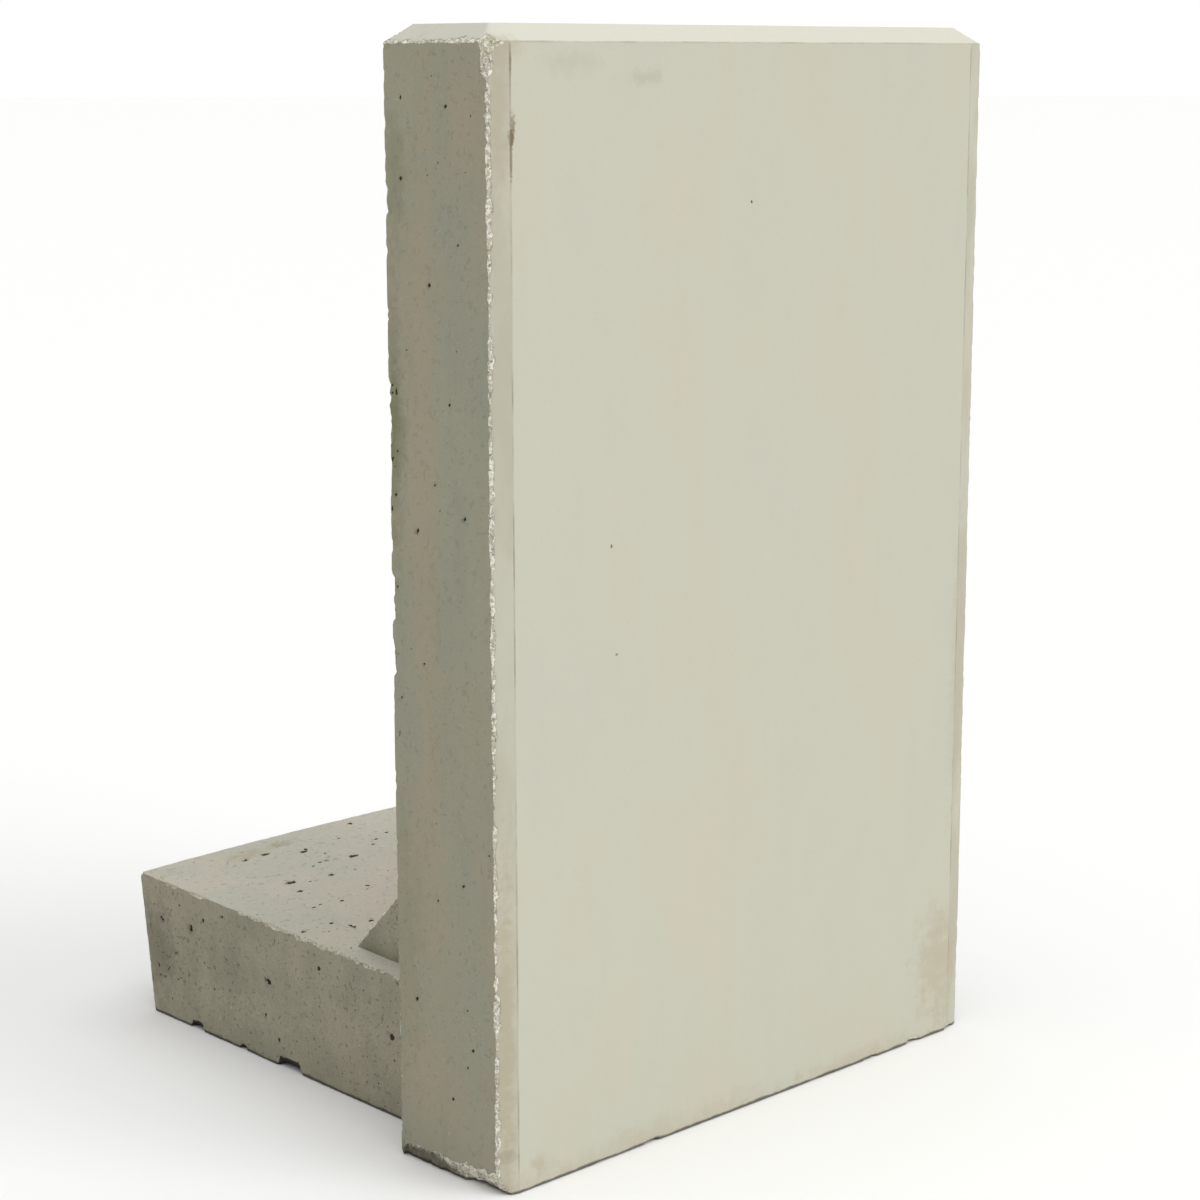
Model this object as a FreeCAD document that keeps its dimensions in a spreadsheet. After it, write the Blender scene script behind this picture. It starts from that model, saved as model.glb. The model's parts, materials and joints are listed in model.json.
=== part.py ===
"""Precast reinforced-concrete L-shaped retaining-wall element, in millimetres.

An upright slab (the stem) stands along the front edge of a lower slab (the foot), which runs back under the
soil. A 45 degree haunch fills the corner between them. Inside lie the steel cage, its spacer wheels and its
tie wires, each in the cavity that it fills in the concrete.

Frame: X along the wall, Y from the smooth front face towards the soil, Z up. The origin is at the middle of
the bottom of the element's box.
"""

import FreeCAD, Part
import math
import os

import Sketcher

SIZES = {
    # overall
    "wall_height": 800,
    "wall_width": 500,
    "element_depth": 500,
    "stem_thickness": 110,
    # foot
    "foot_inset": 40,
    "foot_root_thickness": 111,
    "foot_toe_thickness": 117,
    "toe_undercut": 16,
    # haunch
    "haunch_leg": 128,
    "haunch_inset": 20,
    # bevels of the stem
    "side_bevel_width": 16.5,
    "side_bevel_depth": 4.5,
    "top_bevel_width": 15,
    "top_bevel_drop": 12,
    # steel cage
    "concrete_cover": 25,
    "paste_film": 0.3,
    "main_bar_diameter": 8,
    "main_bar_edge": 45,
    "bend_radius": 20,
    "cross_bar_diameter": 6,
    "top_bar_drop": 55,
    "toe_bar_edge": 53,
    "haunch_bar_diameter": 8,
    # tie wires
    "tie_wire_diameter": 1.6,
    "tie_slack": 1,
    # spacer wheels
    "wheel_width": 8,
    "wheel_skin": 0.8,
    "wheel_mouth": 6.5,
    "wheel_window_diameter": 13,
}
MAIN_BARS = 4
STEM_BARS_BELOW = 1
STEM_BARS_ABOVE = 4
FOOT_BARS_BEFORE = 1
FOOT_BARS_AFTER = 2
WHEEL_WINDOWS = 5

# Places along Y and Z, written once as formulas of the sheet's cells.
FRONT = "(-Sizes.element_depth / 2)"
TOE = "(Sizes.element_depth / 2)"
REAR = f"({FRONT} + Sizes.stem_thickness)"
MIDDLE_OF_STEM = f"({FRONT} + Sizes.stem_thickness / 2)"
HALF_WIDTH = "(Sizes.wall_width / 2)"
BEVEL_FOOT = "(Sizes.wall_height - Sizes.top_bevel_drop)"
FOOT_WIDTH = "(Sizes.wall_width - 2 * Sizes.foot_inset)"

# The main bars run at the cover's depth behind the stem's rear face and above the foot's underside.
MAIN_RADIUS = "(Sizes.main_bar_diameter / 2)"
MAIN_Y = f"({REAR} - Sizes.concrete_cover - {MAIN_RADIUS})"
MAIN_Z = f"(Sizes.concrete_cover + {MAIN_RADIUS})"
MAIN_SPACING = f"(({FOOT_WIDTH} - 2 * Sizes.main_bar_edge) / {MAIN_BARS - 1})"

# The cross bars lie against the main bars, on their inner side, a film of paste away.
CROSS_STEP = f"({MAIN_RADIUS} + Sizes.paste_film + Sizes.cross_bar_diameter / 2)"
STEM_BAR_Y = f"({MAIN_Y} - {CROSS_STEP})"
FOOT_BAR_Z = f"({MAIN_Z} + {CROSS_STEP})"

# A haunch bar's axis is the line y + z = HAUNCH_SUM, parallel to the haunch's face at the cover's depth.
HAUNCH_RADIUS = "(Sizes.haunch_bar_diameter / 2)"
HAUNCH_SUM = (
    f"({REAR} + Sizes.foot_root_thickness + Sizes.haunch_leg"
    f" - sqrt(2) * (Sizes.concrete_cover + {HAUNCH_RADIUS}))"
)
HAUNCH_TOP_Y = f"({FRONT} + Sizes.concrete_cover + {HAUNCH_RADIUS})"
HAUNCH_END_Z = f"(Sizes.concrete_cover + {HAUNCH_RADIUS})"
HAUNCH_STEP = f"({HAUNCH_RADIUS} + Sizes.paste_film + Sizes.cross_bar_diameter / 2)"

# One cross bar of the stem rests on the haunch bars, and one of the foot lies under them.
STEM_BAR_Z = f"({HAUNCH_SUM} - {STEM_BAR_Y} + sqrt(2) * {HAUNCH_STEP})"
FOOT_BAR_Y = f"({HAUNCH_SUM} - {FOOT_BAR_Z} - sqrt(2) * {HAUNCH_STEP})"

# The other cross bars share the way from there to the last bar, near the stem's top or the toe.
TOP_BAR_Z = "(Sizes.wall_height - Sizes.top_bar_drop)"
TOE_BAR_Y = f"({TOE} - Sizes.toe_undercut - Sizes.toe_bar_edge)"
STEM_SPACING = f"(({TOP_BAR_Z} - {STEM_BAR_Z}) / {STEM_BARS_ABOVE})"
FOOT_SPACING = f"(({TOE_BAR_Y} - {FOOT_BAR_Y}) / {FOOT_BARS_AFTER})"

ALONG_X = FreeCAD.Vector(1, 0, 0)
ALONG_Y = FreeCAD.Vector(0, 1, 0)
ALONG_Z = FreeCAD.Vector(0, 0, 1)
DOWN_THE_HAUNCH = FreeCAD.Vector(0, 1, -1).normalize()


def make_sheet(doc):
    """Put every driving dimension in the spreadsheet, one row each, with its name as the alias."""
    sheet = doc.addObject("Spreadsheet::Sheet", "Sizes")
    for row, (name, value) in enumerate(SIZES.items(), start=1):
        sheet.set(f"A{row}", name)
        sheet.set(f"B{row}", str(value))
        sheet.setAlias(f"B{row}", name)
    doc.recompute()


def bind(thing, bindings):
    """Bind each property of a document object to its formula."""
    for path, formula in bindings.items():
        thing.setExpression(path, formula)


def new_body(doc, label):
    """An empty body with its label."""
    body = doc.addObject("PartDesign::Body", label)
    body.Label = label
    return body


def new_sketch(body, name, role, offset="0"):
    """A sketch on one of the body's own origin planes, raised along the plane's normal by a formula."""
    sketch = body.newObject("Sketcher::SketchObject", name)
    plane = next(p for p in body.Origin.OriginFeatures if p.Role == role)
    sketch.AttachmentSupport = [(plane, "")]
    sketch.MapMode = "FlatFace"
    sketch.setExpression("AttachmentOffset.Base.z", offset)
    return sketch


def place_point(sketch, index, end, name, across, up):
    """Fix one point of a sketch at a place given by two formulas, measured from the sketch's origin."""
    point = sketch.getPoint(index, end)
    for axis, drawn, formula in (("X", point.x, across), ("Y", point.y, up)):
        constraint = sketch.addConstraint(Sketcher.Constraint(f"Distance{axis}", -1, 1, index, end, drawn))
        sketch.renameConstraint(constraint, f"{name}_{axis.lower()}")
        sketch.setExpression(f"Constraints.{name}_{axis.lower()}", formula)


def draw_polygon(sketch, corners):
    """Draw a closed outline through named corners, whose places are pairs of formulas."""
    count = len(corners)
    for index in range(count):
        start = FreeCAD.Vector(index, index * index, 0)
        stop = FreeCAD.Vector((index + 1) % count, ((index + 1) % count) ** 2, 0)
        sketch.addGeometry(Part.LineSegment(start, stop), False)
    for index in range(count):
        sketch.addConstraint(Sketcher.Constraint("Coincident", index, 2, (index + 1) % count, 1))
    for index, (name, (across, up)) in enumerate(corners.items()):
        place_point(sketch, index, 1, name, across, up)


def draw_circle(sketch, name, diameter, across="0", up="0"):
    """Draw a circle whose diameter and centre are formulas."""
    index = sketch.addGeometry(Part.Circle(FreeCAD.Vector(0, 0, 0), ALONG_Z, 1.0), False)
    constraint = sketch.addConstraint(Sketcher.Constraint("Diameter", index, 2.0))
    sketch.renameConstraint(constraint, name)
    sketch.setExpression(f"Constraints.{name}", diameter)
    place_point(sketch, index, 3, f"{name}_centre", across, up)


def add_pad(body, name, sketch, length, both_ways=False):
    """Pad a sketch by a formula's length, to one side or half to each side."""
    pad = body.newObject("PartDesign::Pad", name)
    pad.Profile = sketch
    pad.setExpression("Length", length)
    if both_ways:
        pad.SideType = "Symmetric"
    return pad


def stem_outline(inset_x, inset_y):
    """The stem's outline seen from above, set in by two formulas, with its two front corners bevelled."""
    half = f"({HALF_WIDTH} - {inset_x})"
    front = f"({FRONT} + {inset_y})"
    rear = f"({REAR} - {inset_y})"
    return {
        "rear_left": (f"-{half}", rear),
        "side_left": (f"-{half}", f"{front} + Sizes.side_bevel_depth"),
        "front_left": (f"-({half} - Sizes.side_bevel_width)", front),
        "front_right": (f"{half} - Sizes.side_bevel_width", front),
        "side_right": (half, f"{front} + Sizes.side_bevel_depth"),
        "rear_right": (half, rear),
    }


def make_block(doc):
    """The element's outer shape: stem with bevels, foot and haunch, with nothing cut out of it."""
    body = new_body(doc, "casting_block")

    plan = new_sketch(body, "stem_plan", "XY_Plane")
    draw_polygon(plan, stem_outline("0", "0"))
    add_pad(body, "stem", plan, BEVEL_FOOT)

    shoulder = new_sketch(body, "shoulder_plan", "XY_Plane", BEVEL_FOOT)
    draw_polygon(shoulder, stem_outline("0", "0"))
    plateau = new_sketch(body, "plateau_plan", "XY_Plane", "Sizes.wall_height")
    draw_polygon(plateau, stem_outline("Sizes.top_bevel_width", "Sizes.top_bevel_width"))
    top = body.newObject("PartDesign::AdditiveLoft", "top_bevel")
    top.Profile = shoulder
    top.Sections = [plateau]
    top.Ruled = True

    foot = new_sketch(body, "foot_profile", "YZ_Plane")
    draw_polygon(
        foot,
        {
            "under_stem": (MIDDLE_OF_STEM, "0"),
            "toe_bottom": (f"{TOE} - Sizes.toe_undercut", "0"),
            "toe_top": (TOE, "Sizes.foot_toe_thickness"),
            "root": (REAR, "Sizes.foot_root_thickness"),
            "in_stem": (MIDDLE_OF_STEM, "Sizes.foot_root_thickness"),
        },
    )
    add_pad(body, "foot", foot, FOOT_WIDTH, both_ways=True)

    haunch = new_sketch(body, "haunch_profile", "YZ_Plane")
    in_foot = "Sizes.foot_root_thickness / 2"
    draw_polygon(
        haunch,
        {
            "low_in_stem": (MIDDLE_OF_STEM, in_foot),
            "low_in_foot": (f"{REAR} + Sizes.haunch_leg", in_foot),
            "on_foot": (f"{REAR} + Sizes.haunch_leg", "Sizes.foot_root_thickness"),
            "on_stem": (REAR, "Sizes.foot_root_thickness + Sizes.haunch_leg"),
            "high_in_stem": (MIDDLE_OF_STEM, "Sizes.foot_root_thickness + Sizes.haunch_leg"),
        },
    )
    add_pad(body, "haunch", haunch, f"{FOOT_WIDTH} - 2 * Sizes.haunch_inset", both_ways=True)
    return body


def main_bar_x(index):
    """Formula for a main bar's place along the wall."""
    return f"({index - (MAIN_BARS - 1) / 2} * {MAIN_SPACING})"


def make_main_bar(doc, index):
    """A bar down the soil side of the stem, round one bend and along the foot to the toe."""
    body = new_body(doc, f"main_bar_{index + 1}")
    top = "Sizes.wall_height - Sizes.concrete_cover"
    end = f"{TOE} - Sizes.toe_undercut - Sizes.concrete_cover"

    path = new_sketch(body, "path", "YZ_Plane")
    leg, bend = 50, 10
    path.addGeometry(Part.LineSegment(FreeCAD.Vector(-bend, leg, 0), FreeCAD.Vector(-bend, 0, 0)), False)
    quarter = Part.Circle(FreeCAD.Vector(0, 0, 0), ALONG_Z, bend)
    path.addGeometry(Part.ArcOfCircle(quarter, math.pi, 1.5 * math.pi), False)
    path.addGeometry(Part.LineSegment(FreeCAD.Vector(0, -bend, 0), FreeCAD.Vector(leg, -bend, 0)), False)
    path.addConstraint(Sketcher.Constraint("Tangent", 0, 2, 1, 1))
    path.addConstraint(Sketcher.Constraint("Tangent", 1, 2, 2, 1))
    path.addConstraint(Sketcher.Constraint("Vertical", 0))
    path.addConstraint(Sketcher.Constraint("Horizontal", 2))
    radius = path.addConstraint(Sketcher.Constraint("Radius", 1, bend))
    path.renameConstraint(radius, "bend")
    path.setExpression("Constraints.bend", "Sizes.bend_radius")
    place_point(path, 0, 1, "top", MAIN_Y, top)
    place_point(path, 2, 2, "end", end, MAIN_Z)

    section = new_sketch(body, "section", "XY_Plane", top)
    draw_circle(section, "round", "Sizes.main_bar_diameter", "0", MAIN_Y)
    pipe = body.newObject("PartDesign::AdditivePipe", "bent_steel")
    pipe.Profile = section
    pipe.Spine = path
    body.setExpression("Placement.Base.x", main_bar_x(index))
    return body


def make_straight_bar(doc, label, direction, diameter, length, start):
    """A straight round bar that starts at three formulas and runs along a direction."""
    bar = doc.addObject("Part::Cylinder", label)
    bar.Label = label
    bar.Placement.Rotation = FreeCAD.Rotation(ALONG_Z, direction)
    bind(bar, {"Radius": f"{diameter} / 2", "Height": length})
    bind(bar, {f"Placement.Base.{axis}": formula for axis, formula in zip("xyz", start)})
    return bar


def stem_bar_z(index):
    """Formula for the height of a cross bar of the stem, counted from the one on the haunch bars."""
    return f"({STEM_BAR_Z} + {index} * {STEM_SPACING})"


def foot_bar_y(index):
    """Formula for the place of a cross bar of the foot, counted from the one under the haunch bars."""
    return f"({FOOT_BAR_Y} + {index} * {FOOT_SPACING})"


def make_stem_bars(doc):
    """The stem's cross bars, end to end of the wall less the cover, from the lowest up."""
    length = "Sizes.wall_width - 2 * Sizes.concrete_cover"
    start_x = f"-({length}) / 2"
    return [
        make_straight_bar(
            doc,
            f"stem_cross_bar_{number}",
            ALONG_X,
            "Sizes.cross_bar_diameter",
            length,
            (start_x, STEM_BAR_Y, stem_bar_z(index)),
        )
        for number, index in enumerate(range(-STEM_BARS_BELOW, STEM_BARS_ABOVE + 1), start=1)
    ]


def make_foot_bars(doc):
    """The foot's cross bars, side to side of the foot less the cover, from the stem to the toe."""
    length = f"{FOOT_WIDTH} - 2 * Sizes.concrete_cover"
    start_x = f"-({length}) / 2"
    return [
        make_straight_bar(
            doc,
            f"foot_cross_bar_{number}",
            ALONG_X,
            "Sizes.cross_bar_diameter",
            length,
            (start_x, foot_bar_y(index), FOOT_BAR_Z),
        )
        for number, index in enumerate(range(-FOOT_BARS_BEFORE, FOOT_BARS_AFTER + 1), start=1)
    ]


def haunch_bar_x(index):
    """Formula for a haunch bar's place along the wall, midway between two main bars."""
    return f"({index - (MAIN_BARS - 2) / 2} * {MAIN_SPACING})"


def make_haunch_bars(doc):
    """Slanting bars from the stem's front side down to the foot's underside, behind the haunch's face."""
    top_z = f"({HAUNCH_SUM} - {HAUNCH_TOP_Y})"
    return [
        make_straight_bar(
            doc,
            f"haunch_bar_{index + 1}",
            DOWN_THE_HAUNCH,
            "Sizes.haunch_bar_diameter",
            f"sqrt(2) * ({top_z} - {HAUNCH_END_Z})",
            (haunch_bar_x(index), HAUNCH_TOP_Y, top_z),
        )
        for index in range(MAIN_BARS - 1)
    ]


def make_wheel(doc):
    """A plastic spacer wheel round a main bar: bore on the bar, rim just under the form's face.

    The wheel lies in the XY plane with its bore at the origin. Its mouth, where it was pushed onto the bar,
    points along -Y, away from the form.
    """
    body = new_body(doc, "spacer_wheel")
    rim_radius = f"(Sizes.concrete_cover + {MAIN_RADIUS} - Sizes.wheel_skin)"
    bore_radius = f"({MAIN_RADIUS} + Sizes.paste_film)"

    disc = new_sketch(body, "disc", "XY_Plane", "-Sizes.wheel_width / 2")
    draw_circle(disc, "rim", f"2 * {rim_radius}")
    draw_circle(disc, "bore", f"2 * {bore_radius}")
    add_pad(body, "wheel", disc, "Sizes.wheel_width")

    mouth = new_sketch(body, "mouth", "XY_Plane", "-Sizes.wheel_width / 2")
    half_mouth = "Sizes.wheel_mouth / 2"
    draw_polygon(
        mouth,
        {
            "inner_left": (f"-{half_mouth}", "0"),
            "inner_right": (half_mouth, "0"),
            "outer_right": (half_mouth, f"-{rim_radius} - Sizes.wheel_width"),
            "outer_left": (f"-{half_mouth}", f"-{rim_radius} - Sizes.wheel_width"),
        },
    )
    slot = body.newObject("PartDesign::Pocket", "slot")
    slot.Profile = mouth
    slot.Reversed = True
    slot.setExpression("Length", "Sizes.wheel_width")

    window = new_sketch(body, "window", "XY_Plane", "-Sizes.wheel_width / 2")
    pitch_radius = f"({rim_radius} + {bore_radius}) / 2"
    across, up = f"cos(30 deg) * {pitch_radius}", f"-sin(30 deg) * {pitch_radius}"
    draw_circle(window, "hole", "Sizes.wheel_window_diameter", across, up)
    cut = body.newObject("PartDesign::Pocket", "first_window")
    cut.Profile = window
    cut.Reversed = True
    cut.setExpression("Length", "Sizes.wheel_width")
    doc.recompute()
    windows = body.newObject("PartDesign::PolarPattern", "windows")
    windows.Originals = [cut]
    windows.Axis = (disc, ["N_Axis"])
    windows.Mode = "Spacing"
    windows.Offset = 360 / (WHEEL_WINDOWS + 1)
    windows.Occurrences = WHEEL_WINDOWS
    body.Tip = windows
    return body


def place_copy(doc, name, master, rotation, place):
    """A copy of a small piece, turned and put at a place given by three formulas."""
    copy = doc.addObject("App::Link", name)
    copy.LinkedObject = master
    copy.LinkTransform = False
    copy.Placement.Rotation = rotation
    bind(copy, {f"Placement.Base.{axis}": formula for axis, formula in zip("xyz", place)})
    return copy


def make_group(doc, label, pieces):
    """One sub-part that holds several separate pieces of the same kind."""
    group = doc.addObject("Part::Compound", label)
    group.Label = label
    group.Links = pieces
    return group


def make_stem_spacers(doc, wheel):
    """Spacer wheels on the outer main bars, level, midway between two cross bars of the stem."""
    mouth_to_front = FreeCAD.Rotation()
    wheels = []
    for bar in (0, MAIN_BARS - 1):
        for gap in (0, STEM_BARS_ABOVE - 1):
            place = (main_bar_x(bar), MAIN_Y, f"{stem_bar_z(gap)} + {STEM_SPACING} / 2")
            wheels.append(place_copy(doc, f"stem_wheel_{bar}_{gap}", wheel, mouth_to_front, place))
    return make_group(doc, "stem_spacers", wheels)


def make_foot_spacers(doc, wheel):
    """Spacer wheels on the outer main bars, upright, midway between two cross bars of the foot."""
    mouth_up = FreeCAD.Rotation(ALONG_X, -90)
    wheels = []
    for bar in (0, MAIN_BARS - 1):
        for gap in range(FOOT_BARS_AFTER):
            place = (main_bar_x(bar), f"{foot_bar_y(gap)} + {FOOT_SPACING} / 2", MAIN_Z)
            wheels.append(place_copy(doc, f"foot_wheel_{bar}_{gap}", wheel, mouth_up, place))
    return make_group(doc, "foot_spacers", wheels)


def make_tie_loop(doc, name, bar_diameter):
    """A loop of tie wire that goes round a bar and a cross bar lying on it. It lies in the XY plane."""
    loop = doc.addObject("Part::Torus", name)
    around = f"({bar_diameter} + Sizes.paste_film + Sizes.cross_bar_diameter) / 2"
    bind(
        loop,
        {
            "Radius1": f"{around} + Sizes.tie_slack + Sizes.tie_wire_diameter / 2",
            "Radius2": "Sizes.tie_wire_diameter / 2",
        },
    )
    return loop


def across_crossing(bar_direction):
    """The turn that lays a loop slantwise across the crossing of a bar and a cross bar."""
    return FreeCAD.Rotation(ALONG_Z, (ALONG_X - bar_direction).normalize())


def make_ties(doc):
    """The loops of wire at every second crossing of main bars and cross bars, and at each haunch bar."""
    main_loop = make_tie_loop(doc, "main_tie", "Sizes.main_bar_diameter")
    haunch_loop = make_tie_loop(doc, "haunch_tie", "Sizes.haunch_bar_diameter")
    to_middle = "(Sizes.paste_film + Sizes.cross_bar_diameter) / 2"
    loops = []
    for bar in range(MAIN_BARS):
        for index in range(-STEM_BARS_BELOW, STEM_BARS_ABOVE + 1):
            if (bar + index) % 2 == 0:
                place = (main_bar_x(bar), f"{MAIN_Y} - {to_middle}", stem_bar_z(index))
                name = f"stem_tie_{bar}_{index + STEM_BARS_BELOW}"
                loops.append(place_copy(doc, name, main_loop, across_crossing(ALONG_Z), place))
        for index in range(-FOOT_BARS_BEFORE, FOOT_BARS_AFTER + 1):
            if (bar + index) % 2 == 0:
                place = (main_bar_x(bar), foot_bar_y(index), f"{MAIN_Z} + {to_middle}")
                name = f"foot_tie_{bar}_{index + FOOT_BARS_BEFORE}"
                loops.append(place_copy(doc, name, main_loop, across_crossing(ALONG_Y), place))
    back = "(Sizes.haunch_bar_diameter + Sizes.paste_film) / sqrt(8)"
    turn = across_crossing(DOWN_THE_HAUNCH)
    for bar in range(MAIN_BARS - 1):
        upper = (haunch_bar_x(bar), f"{STEM_BAR_Y} - {back}", f"{stem_bar_z(0)} - {back}")
        lower = (haunch_bar_x(bar), f"{foot_bar_y(0)} + {back}", f"{FOOT_BAR_Z} + {back}")
        loops.append(place_copy(doc, f"upper_haunch_tie_{bar}", haunch_loop, turn, upper))
        loops.append(place_copy(doc, f"lower_haunch_tie_{bar}", haunch_loop, turn, lower))
    return make_group(doc, "tie_wires", loops)


def make_casting(doc, block, embedded):
    """The concrete: the outer shape less a cavity for each piece that it was poured round."""
    everything = make_group(doc, "embedded_pieces", embedded)
    casting = doc.addObject("Part::Cut", "concrete_casting")
    casting.Label = "concrete_casting"
    casting.Base = block
    casting.Tool = everything
    return casting


def check(doc, pieces, block):
    """Stop if any object failed or a sub-part isn't whole, and print what was made."""
    for thing in doc.Objects:
        if {"Invalid", "Error"} & set(thing.State):
            raise RuntimeError(f"{thing.Label} failed: {thing.State}")
    for piece in pieces:
        shape = piece.Shape
        if shape.isNull() or not shape.isValid() or not shape.Solids:
            raise RuntimeError(f"{piece.Label} has no valid solid")
        print(f"{piece.Label}: {len(shape.Solids)} solid(s), {shape.Volume:.1f} mm3")
    embedded = sum(piece.Shape.Volume for piece in pieces[1:])
    left = block.Shape.Volume - embedded - pieces[0].Shape.Volume
    print(f"embedded {embedded:.1f} mm3; the outer shape less all pieces leaves {left:.3f} mm3")


def main():
    """Build the element, check it and write one STEP file for each sub-part."""
    doc = FreeCAD.newDocument("retaining_wall_element")
    make_sheet(doc)
    block = make_block(doc)
    cage = [make_main_bar(doc, index) for index in range(MAIN_BARS)]
    cage += make_stem_bars(doc) + make_foot_bars(doc) + make_haunch_bars(doc)
    wheel = make_wheel(doc)
    cage += [make_stem_spacers(doc, wheel), make_foot_spacers(doc, wheel), make_ties(doc)]
    pieces = [make_casting(doc, block, cage)] + cage
    doc.recompute()
    check(doc, pieces, block)

    os.makedirs("parts", exist_ok=True)
    for piece in pieces:
        piece.Shape.exportStep(f"parts/{piece.Label}.step")


main()
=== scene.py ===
"""Looks of a precast concrete L-shaped retaining-wall element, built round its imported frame.

The casting is one pour, shown as three closed surfaces that meet inside it: the upright stem, the foot and
the haunch. The steel cage, its spacer wheels and its tie wires lie sealed inside and keep their own shapes.
Shapes are worked out in millimetres, and turned to metres when their mesh is made.
"""

import json
import logging
import math
from dataclasses import dataclass
from enum import Enum

import bpy
import numpy as np
from mathutils import Matrix, Vector

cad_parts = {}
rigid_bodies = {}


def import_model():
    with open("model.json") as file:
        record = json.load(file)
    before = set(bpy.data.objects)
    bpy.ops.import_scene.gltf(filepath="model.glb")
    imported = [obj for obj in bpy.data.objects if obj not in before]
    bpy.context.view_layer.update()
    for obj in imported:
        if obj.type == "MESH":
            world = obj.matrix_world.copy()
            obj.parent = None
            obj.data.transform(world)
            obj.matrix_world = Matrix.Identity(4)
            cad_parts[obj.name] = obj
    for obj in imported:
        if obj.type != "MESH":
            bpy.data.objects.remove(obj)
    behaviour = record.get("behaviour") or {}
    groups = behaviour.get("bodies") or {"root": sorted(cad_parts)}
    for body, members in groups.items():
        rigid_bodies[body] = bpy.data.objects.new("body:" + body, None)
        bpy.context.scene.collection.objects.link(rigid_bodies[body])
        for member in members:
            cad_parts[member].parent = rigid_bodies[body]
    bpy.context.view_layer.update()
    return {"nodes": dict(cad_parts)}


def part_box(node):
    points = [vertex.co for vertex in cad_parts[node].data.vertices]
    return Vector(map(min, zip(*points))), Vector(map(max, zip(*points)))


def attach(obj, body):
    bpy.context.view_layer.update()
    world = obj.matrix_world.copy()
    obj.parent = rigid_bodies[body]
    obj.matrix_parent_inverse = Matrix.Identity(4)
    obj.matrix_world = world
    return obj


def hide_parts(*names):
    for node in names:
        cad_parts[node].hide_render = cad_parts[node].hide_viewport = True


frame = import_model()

log = logging.getLogger("wall_element")

MM = 0.001
CASTING = "concrete_casting"
SEED = 47
FAR_INSIDE = -4.0  # the broken and pitted measures where the skin is whole
WIDEST_CELL = 4.4  # millimetres between a skin's points; a smaller hole moves onto the nearest one
SHARP_ANGLE = 35.0  # degrees between faces, past which their edge is drawn sharp
WANDER_LENGTH, CRUMB_LENGTH = 38.0, 5.0  # millimetres: the waves and the crumbs of a broken edge
WELL_BACK = 3.0  # millimetres that a break stays clear of its edge outside its span
STEM_THICKNESS, ROOT_THICKNESS = 110.0, 111.0  # millimetres, the second of the foot where it meets the stem
Point = tuple[float, float, float]
Colour = tuple[float, float, float, float]
Socket = bpy.types.NodeSocket
Feed = object  # a socket to join, or a plain value


class Side(Enum):
    """The six sides of a block, each as its axis and its direction along that axis."""

    LEFT = (0, -1)
    RIGHT = (0, 1)
    FRONT = (1, -1)
    REAR = (1, 1)
    UNDER = (2, -1)
    TOP = (2, 1)


def smooth_step(value: np.ndarray, low: float, high: float) -> np.ndarray:
    """Rise from 0 at low to 1 at high along the cubic 3 t^2 - 2 t^3."""
    share = np.clip((value - low) / (high - low), 0.0, 1.0)
    return share * share * (3.0 - 2.0 * share)


class Lumps:
    """Smooth random values over space, the same on every run."""

    PRIMES = (73856093, 19349663, 83492791)
    SIZE = 8192

    def __init__(self, seed: int) -> None:
        """Draw the table of values that the cells share."""
        self.table = np.random.default_rng(seed).uniform(-1.0, 1.0, self.SIZE)

    def _corner(self, cell: np.ndarray) -> np.ndarray:
        """The table's value for each cell corner, picked by mixing its three whole numbers."""
        mixed = cell[:, 0] * self.PRIMES[0] ^ cell[:, 1] * self.PRIMES[1] ^ cell[:, 2] * self.PRIMES[2]
        return self.table[mixed % self.SIZE]

    def at(self, points: np.ndarray, wavelength: float) -> np.ndarray:
        """One layer: cell corners hold random values, and the cubic step blends the eight round each point.

        Args:
            points: places, one row each.
            wavelength: the size of a cell, in the points' unit.

        Returns:
            A value from -1 to 1 for each point.
        """
        scaled = points / wavelength
        cell = np.floor(scaled).astype(np.int64)
        part = scaled - cell
        part = part * part * (3.0 - 2.0 * part)
        total = np.zeros(len(points))
        for corner in np.ndindex(2, 2, 2):
            step = np.array(corner)
            weight = np.prod(np.where(step == 1, part, 1.0 - part), axis=1)
            total += weight * self._corner(cell + step)
        return total

    def layered(self, points: np.ndarray, wavelength: float, layers: int, fade: float = 0.5) -> np.ndarray:
        """Sum of layers, each at half the wavelength and fade times the height of the one before.

        Args:
            points: places, one row each.
            wavelength: the first layer's cell size.
            layers: how many layers.
            fade: how much lower each next layer is.

        Returns:
            A value of about -1 to 1 for each point.
        """
        total, height, heights = np.zeros(len(points)), 1.0, 0.0
        for layer in range(layers):
            total += height * self.at(points + 3.7 * layer * wavelength, wavelength / 2**layer)
            heights += height
            height *= fade
        return total / heights


LUMPS = Lumps(SEED)


def graded(marks: list[float], fine: float, coarse: float, reach: float) -> np.ndarray:
    """Positions from the first mark to the last, close together at the marks.

    The step between two positions is fine at a mark and rises by the cubic step to coarse at reach from it.
    Each stretch between two marks is cut where the running sum of 1 / step passes equal shares.

    Args:
        marks: rising places that get a position exactly.
        fine: the step at a mark.
        coarse: the step far from the marks.
        reach: how far from a mark the step becomes coarse.

    Returns:
        The rising positions.
    """
    samples = 400
    stretches = [np.array([marks[0]])]
    for low, high in zip(marks[:-1], marks[1:]):
        line = np.linspace(low, high, samples)
        away = np.minimum(line - low, high - line)
        density = 1.0 / (fine + (coarse - fine) * smooth_step(away, 0.0, reach))
        running = np.concatenate([[0.0], np.cumsum((density[1:] + density[:-1]) / 2 * np.diff(line))])
        count = max(1, round(running[-1]))
        stretches.append(np.interp(np.linspace(0.0, running[-1], count + 1)[1:], running, line))
    return np.concatenate(stretches)


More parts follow.
